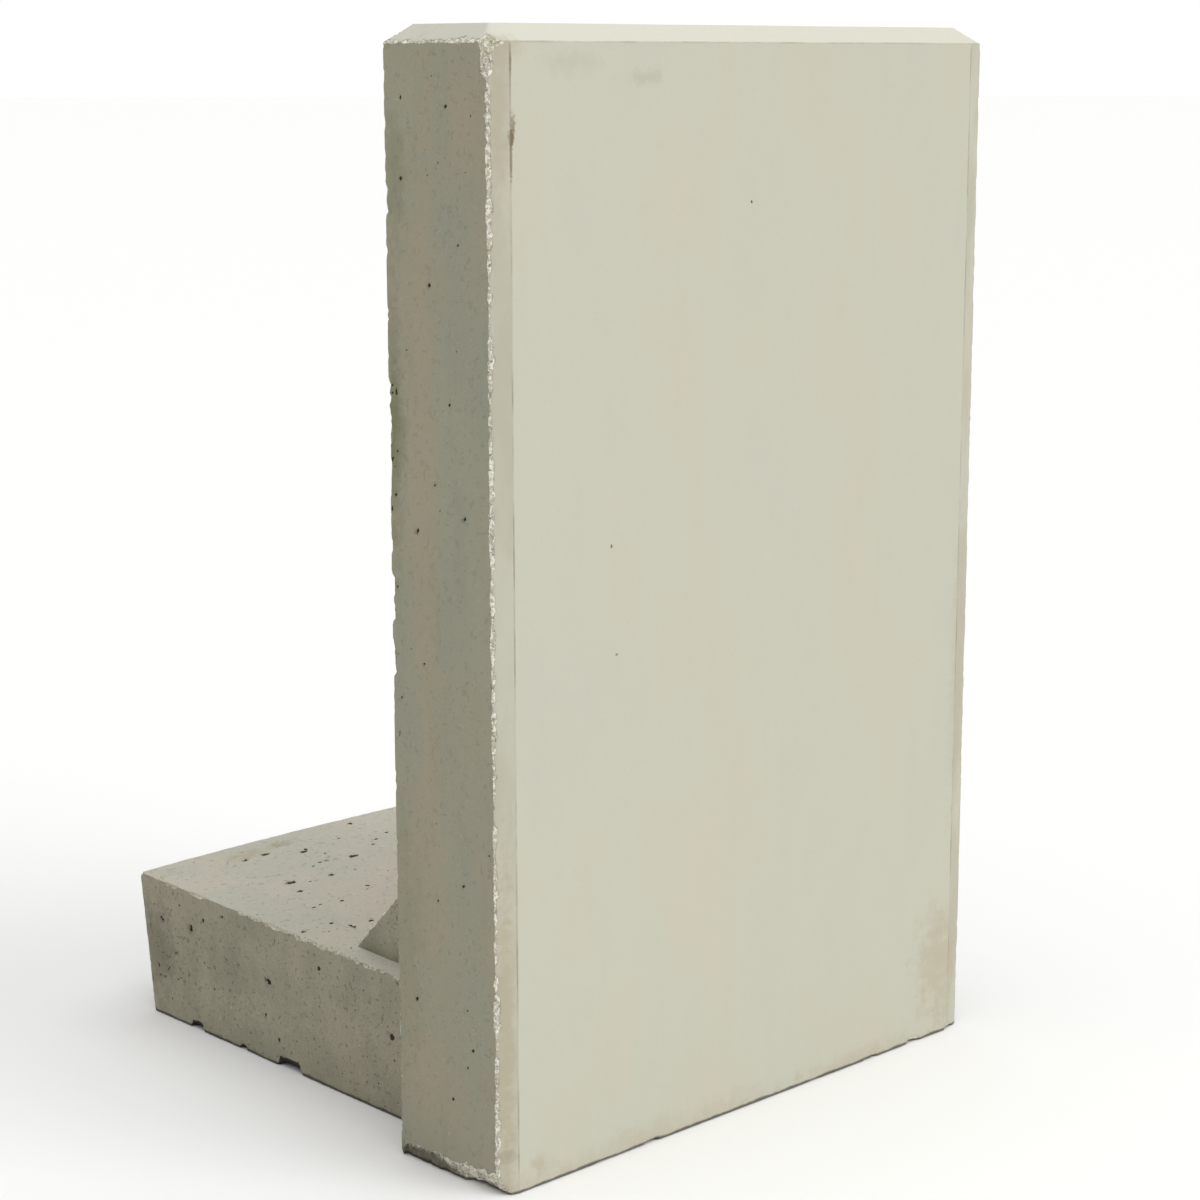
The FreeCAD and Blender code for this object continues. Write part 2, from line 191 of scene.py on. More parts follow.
class BlockSkin:
    """The skin of a block that planes across its three directions cut into cells."""

    def __init__(
        self, planes: tuple[np.ndarray, np.ndarray, np.ndarray], plain: tuple[Side, ...] = (), rim: int = 8
    ) -> None:
        """Number the lattice points on the skin and note which side each is on.

        Args:
            planes: the rising plane positions along X, Y and Z.
            plain: flat sides whose middle is covered by a fan of triangles.
            rim: how many cells a plain side keeps along its border.
        """
        counts = [len(p) for p in planes]
        inner = np.zeros(counts, bool)
        inner[1:-1, 1:-1, 1:-1] = True
        self.ids = np.full(counts, -1)
        self.ids[~inner] = np.arange(np.count_nonzero(~inner))
        grid = np.meshgrid(*planes, indexing="ij")
        self.flat = np.stack([axis[~inner] for axis in grid], axis=1)
        self.ends = [(p[0], p[-1]) for p in planes]
        self.plain = plain
        self.rim = rim

    def on(self, side: Side) -> np.ndarray:
        """Which points lie on a side, judged on the block before it was shaped."""
        axis, direction = side.value
        return self.flat[:, axis] == self.ends[axis][(direction + 1) // 2]

    def faces(self) -> list[np.ndarray]:
        """Quads of all six sides and triangles of the fans, wound so that each faces outwards.

        The corners go round a cell as a, a + 1, a + 1 with b + 1, b + 1 in the side's two directions. That
        turns anticlockwise seen from the positive X and Z ends and clockwise from the positive Y end, so
        the order is turned back where the side looks the other way.

        Returns:
            The quads, then the triangles if there are any, as rows of point numbers.
        """
        quads, fans = [], []
        for side in Side:
            axis, direction = side.value
            sheet = np.take(self.ids, 0 if direction < 0 else -1, axis=axis)
            around = np.stack((sheet[:-1, :-1], sheet[1:, :-1], sheet[1:, 1:], sheet[:-1, 1:]), axis=-1)
            kept = np.ones(around.shape[:2], bool)
            if side in self.plain:
                rim = self.rim
                kept[rim:-rim, rim:-rim] = False
                middle = sheet[rim:-rim, rim:-rim]
                borders = middle[:-1, 0], middle[-1, :-1], middle[:0:-1, -1], middle[0, :0:-1]
                loop = np.concatenate(borders)
                hub = np.full_like(loop, middle[middle.shape[0] // 2, middle.shape[1] // 2])
                fan = np.stack([loop, np.roll(loop, -1), hub], axis=1)
            quad = around[kept]
            turned = direction * (-1 if axis == 1 else 1) < 0
            quads.append(quad[:, ::-1] if turned else quad)
            if side in self.plain:
                fans.append(fan[:, ::-1] if turned else fan)
        return [np.concatenate(group) for group in (quads, fans) if group]


@dataclass(frozen=True)
class Arris:
    """An edge or corner of the concrete, and how badly it is broken: sizes in millimetres.

    The anchor is a point on the edge and outward points away from the concrete. Leg is how far the break
    reaches along each side, and wander and crumble are the heights of its long and its short lumps. Span
    limits the damage to a stretch, given as the axis it is measured along and its two ends, past which it
    fades out over the ramp.
    """

    anchor: Point
    outward: Point
    leg: float
    wander: float
    crumble: float
    span: tuple[int, float, float] | None = None
    ramp: float = 5.0


@dataclass(frozen=True)
class Band:
    """A band along the bottom of a side where the skin has come off: sizes in millimetres.

    Heights gives the lip's height at each of the places, depth how far the band is set back, and wander how
    high the lip's lumps are.
    """

    places: tuple[float, ...]
    heights: tuple[float, ...]
    depth: float
    wander: float


@dataclass(frozen=True)
class Pit:
    """A hole that an air bubble left in a side of the concrete: sizes in millimetres.

    Stretch draws it out along the side's level direction. A dark one is filled with painted shade; one that
    isn't dark is only a shallow dent.
    """

    centre: Point
    side: Side
    radius: float
    depth: float
    stretch: float = 1.0
    dark: bool = True


class Surface:
    """A block's skin being shaped, with the measures that its finish reads.

    Broken is how far a point was broken back, in millimetres, negative where it stands behind the break.
    Pitted rises to 1 in the middle of a hole and is 0 on its rim; the finish paints shade by it. Faced is 1
    on the better finished sides.
    """

    def __init__(self, skin: BlockSkin) -> None:
        """Start with the plain skin and nothing broken."""
        self.skin = skin
        self.points = skin.flat.copy()
        count = len(self.points)
        self.measures = {
            "broken": np.full(count, FAR_INSIDE),
            "pitted": np.full(count, FAR_INSIDE),
            "faced": np.zeros(count),
        }

    def press(self, side: Side, depth: np.ndarray) -> None:
        """Push the points of one side inwards by a depth each."""
        axis, direction = side.value
        here = self.skin.on(side)
        self.points[here, axis] -= direction * depth[here]

    def swell(self, side: Side, wavelength: float, height: float, layers: int = 2) -> None:
        """Sink one side by layered lumps, up to twice the height at its lowest, so that it isn't flat."""
        self.press(side, height * (1.0 - LUMPS.layered(self.points, wavelength, layers)))

    def press_pit(self, pit: Pit) -> None:
        """Press a round hole: its depth falls as (1 - r^2)^(1/2) from the middle, within a lumpy outline.

        Args:
            pit: the hole. A small one is centred on the skin's nearest point.
        """
        axis, direction = pit.side.value
        reach = max(2.4 * pit.radius * max(pit.stretch, 1.0), WIDEST_CELL)
        away = self.points - pit.centre
        away[:, axis] = 0.0
        index = np.flatnonzero(self.skin.on(pit.side) & (np.abs(away).max(axis=1) < reach))
        if len(index) == 0:
            return
        away = away[index]
        if pit.radius < WIDEST_CELL:
            away -= away[np.argmin(np.linalg.norm(away, axis=1))].copy()
        away[:, 1 if axis == 0 else 0] /= pit.stretch
        lumpy = 1.0 + 0.4 * LUMPS.at(self.skin.flat[index], 1.5 * pit.radius + 1.0)
        radius = np.linalg.norm(away, axis=1) / (pit.radius * lumpy)
        self.points[index, axis] -= direction * pit.depth * np.sqrt(np.clip(1.0 - radius**2, 0.0, 1.0))
        # A dark hole marks the pitted measure, which the finish fills with painted shade.
        if pit.dark:
            pitted = self.measures["pitted"]
            pitted[index] = np.maximum(pitted[index], 1.0 - radius)

    def break_arris(self, arris: Arris) -> None:
        """Break an edge off along a rough plane.

        The plane faces outward and lies leg / root 2 inside the edge, moved by lumps of two sizes. What
        stands out of it is pushed back onto it.

        Args:
            arris: the edge.
        """
        outward = np.array(arris.outward) / np.linalg.norm(arris.outward)
        leg = arris.leg + arris.wander * LUMPS.layered(self.skin.flat, WANDER_LENGTH, 3, 0.6)
        leg += arris.crumble * LUMPS.layered(self.skin.flat, CRUMB_LENGTH, 2, 0.8)
        if arris.span:
            axis, low, high = arris.span
            place = self.skin.flat[:, axis]
            inside = smooth_step(place, low - arris.ramp, low)
            inside = inside * smooth_step(-place, -high - arris.ramp, -high)
            leg = leg * inside - WELL_BACK * (1.0 - inside)
        proud = (self.points - arris.anchor) @ outward + leg / math.sqrt(2.0)
        proud = np.where(leg > 0.0, proud, np.minimum(proud, leg))
        self.points -= np.clip(proud, 0.0, None)[:, None] * outward
        broken = self.measures["broken"]
        np.maximum(broken, np.clip(proud, FAR_INSIDE, -FAR_INSIDE), out=broken)

    def sink_band(self, side: Side, along: int, band: Band) -> None:
        """Set the foot of a side back, up to a ragged lip, as where its skin has come off.

        The lip's height runs through the band's given places and heights, plus lumps. A point below it goes
        in by the depth, times lumps from a half to one and a half, over the last millimetre under the lip.
        The move falls evenly to nothing at three depths inside the side, so that nothing folds over.

        Args:
            side: the side.
            along: the axis that the band's places are measured on.
            band: the band.
        """
        axis, direction = side.value
        flat = self.skin.flat
        lip = np.interp(flat[:, along], band.places, band.heights)
        lip = lip + band.wander * LUMPS.layered(flat, 11.0, 3, 0.7) * (lip > 0.5)
        under = lip - flat[:, 2]
        depth = band.depth * (1.0 + 0.5 * LUMPS.layered(flat, 7.0, 2, 0.8)) * smooth_step(under, 0.0, 1.2)
        deep = (flat[:, axis] - self.skin.ends[axis][(direction + 1) // 2]) * -direction
        self.points[:, axis] -= direction * depth * np.clip(1.0 - deep / (3.0 * band.depth), 0.0, 1.0)
        near = deep < 0.5 * band.depth
        broken = self.measures["broken"]
        broken[near] = np.maximum(broken[near], np.clip(under, FAR_INSIDE, -FAR_INSIDE)[near])

    def into_object(self, name: str) -> bpy.types.Object:
        """Make the mesh and its measures, smooth but for its sharp edges.

        Args:
            name: the piece's name.

        Returns:
            The new object, at the origin.
        """
        groups = self.skin.faces()
        corners = np.concatenate([group.ravel() for group in groups])
        used, corners = np.unique(corners, return_inverse=True)
        sizes = np.concatenate([np.full(len(group), group.shape[1]) for group in groups])
        starts = np.concatenate([[0], np.cumsum(sizes)[:-1]])
        mesh = bpy.data.meshes.new(name)
        mesh.vertices.add(len(used))
        mesh.vertices.foreach_set("co", (self.points[used] * MM).astype(np.float32).ravel())
        mesh.loops.add(len(corners))
        mesh.loops.foreach_set("vertex_index", corners.astype(np.int32).ravel())
        mesh.polygons.add(len(sizes))
        mesh.polygons.foreach_set("loop_start", starts.astype(np.int32))
        mesh.polygons.foreach_set("use_smooth", np.ones(len(sizes), bool))
        mesh.update(calc_edges=True)
        for measure, values in self.measures.items():
            layer = mesh.attributes.new(measure, "FLOAT", "POINT")
            layer.data.foreach_set("value", values[used].astype(np.float32))
        mesh.set_sharp_from_angle(angle=math.radians(SHARP_ANGLE))
        return stand(name, mesh)


def stand(name: str, data: bpy.types.ID) -> bpy.types.Object:
    """Make an object for its data and put it in the scene, at the origin."""
    made = bpy.data.objects.new(name, data)
    bpy.context.scene.collection.objects.link(made)
    return made


def scatter(
    seed: int,
    count: int,
    side: Side,
    low: Point,
    high: Point,
    radii: tuple[float, float],
    crowd: tuple[int, float] | None = None,
) -> list[Pit]:
    """Random holes over a stretch of a side, small ones far more often than large ones.

    Args:
        seed: the number that the draw starts from.
        count: how many holes.
        side: the side they are in.
        low: the stretch's lowest corner.
        high: its highest corner.
        radii: the smallest and the largest radius; a hole's is the smallest plus a random number cubed
            times the difference.
        crowd: an axis, and the power that the draw along it is raised to, which crowds holes at its low
            end.

    Returns:
        The holes.
    """
    draw = np.random.default_rng(seed).random((count, 6))
    if crowd:
        axis, power = crowd
        draw[:, axis] **= power
    centres = np.array(low) + (np.array(high) - low) * draw[:, :3]
    sizes = radii[0] + (radii[1] - radii[0]) * draw[:, 3] ** 3
    depths = sizes * (0.6 + 0.8 * draw[:, 4])
    stretches = 0.8 + 0.7 * draw[:, 5]
    return [
        Pit(tuple(centre), side, radius, depth, stretch)
        for centre, radius, depth, stretch in zip(centres, sizes, depths, stretches)
    ]


def paint(red: float, green: float, blue: float) -> Colour:
    """A colour given on the 0 to 255 display scale, as the linear numbers that shaders use."""
    parts = [part / 255.0 for part in (red, green, blue)]
    lit = [part / 12.92 if part <= 0.04045 else ((part + 0.055) / 1.055) ** 2.4 for part in parts]
    return (*lit, 1.0)


class Graph:
    """Short ways to place nodes in one node tree and join them."""

    def __init__(self, tree: bpy.types.NodeTree) -> None:
        """Work in this tree."""
        self.tree = tree

    def add(self, kind: str, inputs: dict | None = None, **settings: object) -> bpy.types.Node:
        """Place a node of a kind, set its properties, and feed its inputs by name or number."""
        node = self.tree.nodes.new("ShaderNode" + kind)
        for name, value in settings.items():
            setattr(node, name, value)
        for name, value in (inputs or {}).items():
            self.feed(node.inputs[name], value)
        return node

    def group(self, tree: bpy.types.NodeTree, inputs: dict) -> bpy.types.Node:
        """Place a shader group and feed its inputs by name."""
        node = self.tree.nodes.new("ShaderNodeGroup")
        node.node_tree = tree
        for name, value in inputs.items():
            self.feed(node.inputs[name], value)
        return node

    def feed(self, socket: Socket, value: Feed) -> None:
        """Join a socket to another, or set it to a plain value."""
        if isinstance(value, Socket):
            self.tree.links.new(value, socket)
        else:
            socket.default_value = value

    def maths(self, operation: str, first: Feed, second: Feed = 0.0) -> Socket:
        """One sum on two numbers."""
        return self.add("Math", {0: first, 1: second}, operation=operation).outputs[0]

    def times(self, first: Feed, second: Feed) -> Socket:
        """The product of two numbers."""
        return self.maths("MULTIPLY", first, second)

    def plus(self, first: Feed, second: Feed) -> Socket:
        """The sum of two numbers."""
        return self.maths("ADD", first, second)

    def rise(self, value: Feed, low: Feed, high: Feed, bottom: float = 0.0, top: float = 1.0) -> Socket:
        """Rise smoothly from bottom to top as the value goes from low to high."""
        inputs = {"Value": value, "From Min": low, "From Max": high, "To Min": bottom, "To Max": top}
        return self.add("MapRange", inputs, interpolation_type="SMOOTHSTEP").outputs[0]

    def blend(self, share: Feed, first: Feed, second: Feed) -> Socket:
        """Mix two colours by a share of the second."""
        return self.add("Mix", {0: share, 6: first, 7: second}, data_type="RGBA").outputs[2]

    def noise(
        self, where: Feed, scale: Feed, detail: float = 2.0, rough: float = 0.5, bend: float = 0.0
    ) -> Socket:
        """Noise over space, from 0 to 1, with scale cells to the metre."""
        inputs = {"Vector": where, "Scale": scale, "Detail": detail, "Roughness": rough, "Distortion": bend}
        return self.add("TexNoise", inputs).outputs[0]

    def moved(self, where: Feed, offset: Point, scale: Point = (1.0, 1.0, 1.0)) -> Socket:
        """Places, scaled and then moved."""
        return self.add("Mapping", {"Vector": where, "Location": offset, "Scale": scale}).outputs[0]

    def place(self) -> Socket:
        """Object coordinates, in metres."""
        return self.add("TexCoord").outputs["Object"]

    def measure(self, name: str) -> Socket:
        """A measure that the mesh carries on its points."""
        return self.add("Attribute", attribute_name=name, attribute_type="GEOMETRY").outputs["Fac"]

    def dab(self, where: Feed, stain: "Stain", colour: Feed) -> Socket:
        """Lay a stain over a colour.

        Its mask is 1 round its centre and falls to 0 at its reach, along a noisy outline. The distance is
        taken after dividing each direction by its reach, and a small stain has finer noise.

        Args:
            where: the places, in metres.
            stain: the stain.
            colour: the colour under it.

        Returns:
            The stained colour.
        """
        offset = tuple(-part / size for part, size in zip(stain.centre, stain.reach))
        scaled = self.moved(where, offset, tuple(1.0 / size for size in stain.reach))
        far = self.add("VectorMath", {0: scaled}, operation="LENGTH").outputs["Value"]
        ragged = self.noise(where, min(500.0, max(90.0, 1.2 / min(stain.reach))), 4.0, 0.65)
        far = self.plus(far, self.times(self.maths("SUBTRACT", ragged, 0.5), 2.4 * stain.edge))
        mask = self.rise(far, 1.0, 1.0 - stain.edge)
        return self.blend(self.times(mask, stain.strength), colour, stain.colour)


def start_material(name: str) -> tuple[bpy.types.Material, Graph, bpy.types.Node]:
    """Make a material, and give it with its graph and its surface shader."""
    material = bpy.data.materials.new(name)
    material.use_nodes = True
    return material, Graph(material.node_tree), material.node_tree.nodes["Principled BSDF"]


class Effects:
    """Shader groups that more than one finish uses, each built once."""

    def __init__(self) -> None:
        """Build every group."""
        self.grain = self._grain()
        self.mottle = self._mottle()
        self.bubbles = self._bubbles()
        self.wear_and_shade = self._wear_and_shade()
        self.skin = self._skin()

    @staticmethod
    def _group(name: str, numbers: dict[str, float], outputs: tuple[str, ...]) -> tuple:
        """Start a group that reads a place and some numbers.

        Args:
            name: the group's name.
            numbers: each number's default, by name.
            outputs: the names of the outputs, all numbers.

        Returns:
            The tree, its graph, the sockets that give its inputs and the ones that take its outputs.
        """
        tree = bpy.data.node_groups.new(name, "ShaderNodeTree")
        tree.interface.new_socket("Place", in_out="INPUT", socket_type="NodeSocketVector")
        for label, default in numbers.items():
            socket = tree.interface.new_socket(label, in_out="INPUT", socket_type="NodeSocketFloat")
            socket.default_value = default
        for label in outputs:
            tree.interface.new_socket(label, in_out="OUTPUT", socket_type="NodeSocketFloat")
        start, end = tree.nodes.new("NodeGroupInput"), tree.nodes.new("NodeGroupOutput")
        return tree, Graph(tree), start.outputs, end.inputs

    def _grain(self) -> bpy.types.NodeTree:
        """Sand grain: two fine noises, one three times finer, added and spread to the full range."""
        tree, graph, given, taken = self._group("sand_grain", {"Scale": 600.0}, ("Speckle", "Height"))
        coarse = graph.noise(given["Place"], given["Scale"], 2.0, 0.6)
        fine = graph.noise(given["Place"], graph.times(given["Scale"], 3.1), 1.0)
        total = graph.plus(graph.times(coarse, 0.6), graph.times(fine, 0.4))
        graph.feed(taken["Speckle"], graph.rise(total, 0.32, 0.68))
        graph.feed(taken["Height"], total)
        return tree

    def _mottle(self) -> bpy.types.NodeTree:
        """Cloudy patches of three sizes, from different places in the same noise."""
        labels = ("Broad", "Middle", "Small")
        tree, graph, given, taken = self._group("cloudy_mottle", {"Scale": 9.0}, labels)
        for label, times, offset in zip(labels, (1.0, 2.7, 9.0), (0.0, 3.1, 7.7)):
            where = graph.moved(given["Place"], (offset, 2.0 * offset, -offset))
            patch = graph.noise(where, graph.times(given["Scale"], times), 3.0, 0.55, 0.3)
            graph.feed(taken[label], graph.rise(patch, 0.3, 0.7))
        return tree

    def _bubbles(self) -> bpy.types.NodeTree:
        """Small air holes: some cells of a pattern hold a round hole of random size at their middle."""
        numbers = {"Scale": 60.0, "Share": 0.2, "Radius": 0.12}
        tree, graph, given, taken = self._group("air_bubbles", numbers, ("Hole",))
        inputs = {"Vector": given["Place"], "Scale": 400.0, "Detail": 1.0}
        shaky = graph.add("TexNoise", inputs).outputs["Color"]
        shaky = graph.add("VectorMath", {0: shaky, 1: (0.5, 0.5, 0.5)}, operation="SUBTRACT").outputs[0]
        shaky = graph.add("VectorMath", {0: shaky, "Scale": 0.0022}, operation="SCALE").outputs[0]
        where = graph.add("VectorMath", {0: given["Place"], 1: shaky}, operation="ADD").outputs[0]
        cells = graph.add("TexVoronoi", {"Vector": where, "Scale": given["Scale"]}, voronoi_dimensions="3D")
        drawn = graph.add("SeparateColor", {0: cells.outputs["Color"]}).outputs
        there = graph.maths("LESS_THAN", drawn[0], given["Share"])
        radius = graph.times(given["Radius"], graph.rise(drawn[1], 0.0, 1.0, 0.35, 1.0))
        hole = graph.rise(cells.outputs["Distance"], radius, graph.times(radius, 0.6))
        graph.feed(taken["Hole"], graph.times(hole, there))
        return tree

    def _skin(self) -> bpy.types.NodeTree:
        """A sandy skin: ragged pocks, darkened by the finish as painted shade, and light flecks, where two
        different noises stand high.
        """
        labels = ("Pocks", "Flecks", "Height")
        tree, graph, given, taken = self._group("pocked_skin", {"Scale": 200.0}, labels)
        for_pocks = graph.noise(given["Place"], given["Scale"], 4.0, 0.7)
        for_flecks = graph.noise(graph.moved(given["Place"], (4.0, 9.0, 1.0)), given["Scale"], 4.0, 0.75)
        pocks, flecks = graph.rise(for_pocks, 0.58, 0.68), graph.rise(for_flecks, 0.6, 0.7)
        graph.feed(taken["Pocks"], pocks)
        graph.feed(taken["Flecks"], flecks)
        raised = graph.times(flecks, 0.5)
        graph.feed(taken["Height"], graph.maths("SUBTRACT", raised, graph.times(pocks, 1.1)))
        return tree

    def _wear_and_shade(self) -> bpy.types.NodeTree:
        """Crisp masks of broken concrete, of painted shade along its edge and of painted shade in holes: the
        mesh's measures made ragged by fine noise.
        """
        numbers = {"Broken": 0.0, "Pitted": 0.0}
        tree, graph, given, taken = self._group("broken_and_pitted", numbers, ("Broken", "Rim Shade", "Pit"))
        ragged = graph.maths("SUBTRACT", graph.noise(given["Place"], 420.0, 3.0, 0.7), 0.5)
        broken = graph.plus(given["Broken"], graph.times(ragged, 1.6))
        graph.feed(taken["Broken"], graph.rise(broken, 0.0, 0.12))
        # A narrow patchy band round each break's edge, which the finish darkens as painted shade.
        rim = graph.times(graph.rise(broken, -0.45, 0.0), graph.rise(broken, 0.15, 0.0))
        patchy = graph.rise(graph.noise(given["Place"], 150.0, 2.0, 0.6), 0.42, 0.62)
        graph.feed(taken["Rim Shade"], graph.times(rim, patchy))
        # The mask that the finish fills with painted shade in holes.
        pitted = graph.plus(given["Pitted"], graph.times(ragged, 0.5))
        graph.feed(taken["Pit"], graph.rise(pitted, 0.02, 0.22))
        return tree


@dataclass(frozen=True)
class Tints:
    """The colours of one kind of concrete surface: its main colour and the two that cloud it.

    The numbers are the strengths of its sand grain, drawn-down streaks, pocks darkened with painted shade,
    and light flecks.
    """

    main: Colour
    warm: Colour
    cool: Colour
    grain: float
    streak: float
    pocks: float
    flecks: float


@dataclass(frozen=True)
class BubbleSpread:
    """How many small air holes a surface shows, and how large they are.

    Scale is how many cells there are to the metre, share the part of them that hold a hole, and radius the
    largest hole's, in cells.
    """

    scale: float
    share: float
    radius: float


FORMED_FACE = Tints(paint(196, 194, 178), paint(198, 193, 175), paint(194, 194, 179), 0.05, 0.02, 0.0, 0.05)
END_FACE = Tints(paint(164, 160, 140), paint(169, 158, 137), paint(155, 156, 139), 0.16, 0.1, 0.1, 0.12)
FLOATED_TOP = Tints(paint(199, 195, 181), paint(205, 196, 180), paint(190, 191, 176), 0.25, 0.0, 0.28, 0.3)
FOOT_SIDE = Tints(paint(168, 164, 144), paint(172, 163, 142), paint(149, 147, 128), 0.4, 0.18, 0.42, 0.28)

# Broken paste, paler than its own tone by a painted highlight; the light flecks use it too.
PASTE_AND_HIGHLIGHT = paint(238, 234, 218)
PASTE_SAND = paint(172, 163, 140)
# Darker sand tone for grain and streaks, and painted shade in holes, pocks, pores and along break edges.
DARK_SAND_AND_HOLE_SHADE = paint(70, 66, 54)
# Painted shade deep in pressed holes and pores, and the painted contact shadow along the bottom.
DEEP_SHADE = paint(48, 46, 38)
ALGAE = paint(112, 120, 84)
RUST_STAIN = paint(168, 152, 119)
END_BROWN = paint(170, 157, 131)
DAMP_STAIN = paint(150, 146, 124)
CREASE = paint(120, 108, 84)
BEVEL_TINT = paint(176, 171, 152)
# Painted highlight that pales the upward-facing top and its bevel.
TOP_HIGHLIGHT = paint(218, 217, 206)
# Painted shade, with some damp, in the undercut strip at the stem's bottom left.
SHADE_AND_DAMP = paint(98, 94, 78)
# Painted shadow in the chips along the foot's bottom left edge.
CHIP_SHADOW = paint(44, 42, 34)
LUMP_PASTE = paint(186, 184, 152)
# Painted shade, with greenish grime, on the chipped rear left edge of the stem.
EDGE_SHADE_AND_GRIME = paint(126, 122, 98)
EDGE_SAND = paint(190, 183, 160)


@dataclass(frozen=True)
class Stain:
    """A stain on the concrete: its place and reach in metres, its colour and its strength.

    Edge is the part of the reach over which it fades, and how ragged its outline is.
    """

    centre: Point
    reach: Point
    colour: Colour
    strength: float
    edge: float = 0.5


def on_front(x: float, z: float, wide: float, high: float, *look: object) -> Stain:
    """A stain on the stem's front, from its place, its reach, and its colour, strength and edge."""
    return Stain((x, -0.25, z), (wide, 0.02, high), *look)


def on_end(y: float, z: float, wide: float, high: float, *look: object) -> Stain:
    """A stain on the stem's left end, from its place, its reach, and its colour, strength and edge."""
    return Stain((-0.25, y, z), (0.03, wide, high), *look)


@dataclass(frozen=True)
class ConcreteFinish:
    """Bare concrete with a better face and plainer sides, broken edges, air holes, creases and stains.

    Grime and painted shade lie on the broken paste only. Bump is the height of the fine bump on the better
    face and on the plainer sides, and drawn_up is how much taller than wide the clouds are.
    """

    name: str
    faced: Tints
    plain: Tints
    faced_bubbles: BubbleSpread
    plain_bubbles: BubbleSpread
    stains: tuple[Stain, ...] = ()
    # Stains laid on the broken paste: grime, and painted shade in undercut and chipped places.
    paste_grime_and_shade: tuple[Stain, ...] = ()
    crease: tuple[float, float] | None = None
    bump: tuple[float, float] = (0.12, 0.5)
    drawn_up: float = 1.0

    def _surface(
        self,
        graph: Graph,
        place: Feed,
        tints: Tints,
        speckle: Feed,
        mottle: bpy.types.Node,
        skin: bpy.types.Node,
    ) -> Socket:
        """One kind of surface: its main colour clouded by the others, then sanded, streaked, and pocked with
        painted shade.
        """
        colour = graph.blend(mottle.outputs["Broad"], tints.warm, tints.main)
        colour = graph.blend(graph.times(mottle.outputs["Middle"], 0.75), colour, tints.cool)
        colour = graph.blend(graph.times(mottle.outputs["Small"], 0.3), colour, tints.main)
        dark = graph.blend(0.45, colour, DARK_SAND_AND_HOLE_SHADE)
        colour = graph.blend(graph.times(speckle, tints.grain), colour, dark)
        if tints.streak:
            drawn_out = graph.moved(place, (0.0, 0.0, 0.0), (1.0, 1.0, 0.12))
            streaks = graph.rise(graph.noise(drawn_out, 90.0, 4.0, 0.65), 0.5, 0.72)
            colour = graph.blend(graph.times(streaks, tints.streak), colour, dark)
        colour = graph.blend(graph.times(skin.outputs["Flecks"], tints.flecks), colour, PASTE_AND_HIGHLIGHT)
        # Pocks darkened as painted shade of small cavities.
        if tints.pocks:
            colour = graph.blend(graph.times(skin.outputs["Pocks"], tints.pocks), colour, DARK_SAND_AND_HOLE_SHADE)
        return colour

    def _bubbles(self, graph: Graph, effects: Effects, place: Feed, spread: BubbleSpread) -> Socket:
        """The mask of small air holes for one spread."""
        inputs = {"Place": place, "Scale": spread.scale, "Share": spread.share, "Radius": spread.radius}
        return graph.group(effects.bubbles, inputs).outputs["Hole"]

    def build(self, effects: Effects) -> bpy.types.Material:
        """Make the material.

        Args:
            effects: the shared shader groups.

        Returns:
            The new material.
        """
        material, graph, shader = start_material(self.name)
        place = graph.place()
        faced = graph.rise(graph.measure("faced"), 0.35, 0.65)
        grain = graph.group(effects.grain, {"Place": place, "Scale": 520.0})
        upright = graph.moved(place, (0.0, 0.0, 0.0), (1.0, 1.0, 1.0 / self.drawn_up))
        mottle = graph.group(effects.mottle, {"Place": upright, "Scale": 8.0})
        measured = {"Broken": graph.measure("broken"), "Pitted": graph.measure("pitted")}
        wear_and_shade = graph.group(effects.wear_and_shade, {"Place": place, **measured})
        speckle = grain.outputs["Speckle"]

        skin = graph.group(effects.skin, {"Place": place, "Scale": 210.0})
        better = self._surface(graph, place, self.faced, speckle, mottle, skin)
        plainer = self._surface(graph, place, self.plain, speckle, mottle, skin)
        colour = graph.blend(faced, plainer, better)
        for stain in self.stains:
            colour = graph.dab(place, stain, colour)
        if self.crease:
            colour = self._crease(graph, place, faced, colour)

        holes_faced = self._bubbles(graph, effects, place, self.faced_bubbles)
        holes_plain = self._bubbles(graph, effects, place, self.plain_bubbles)
        holes = graph.add("Mix", {0: faced, 2: holes_plain, 3: holes_faced}, data_type="FLOAT").outputs[0]
        # Small air holes darkened as painted shade, besides their bump.
        colour = graph.blend(graph.times(holes, 0.85), colour, DARK_SAND_AND_HOLE_SHADE)

        # Broken paste: its bright colour carries a painted highlight, and the stains laid on it include
        # painted shade.
        chunks = graph.rise(graph.noise(place, 380.0, 3.0, 0.7), 0.46, 0.58)
        paste_lit_and_shaded = graph.blend(graph.times(chunks, 0.6), PASTE_AND_HIGHLIGHT, PASTE_SAND)
        crumbs = graph.rise(graph.noise(graph.moved(place, (5.0, 1.0, 2.0)), 380.0, 2.0, 0.6), 0.59, 0.65)
        paste_lit_and_shaded = graph.blend(graph.times(crumbs, 0.55), paste_lit_and_shaded, DARK_SAND_AND_HOLE_SHADE)
        for stain in self.paste_grime_and_shade:
            paste_lit_and_shaded = graph.dab(place, stain, paste_lit_and_shaded)
        # Painted shade along the edge of each break.
        colour = graph.blend(graph.times(wear_and_shade.outputs["Rim Shade"], 0.45), colour, DARK_SAND_AND_HOLE_SHADE)
        colour = graph.blend(wear_and_shade.outputs["Broken"], colour, paste_lit_and_shaded)
        # Painted shade deep in the pressed holes.
        colour = graph.blend(graph.times(wear_and_shade.outputs["Pit"], 0.95), colour, DEEP_SHADE)
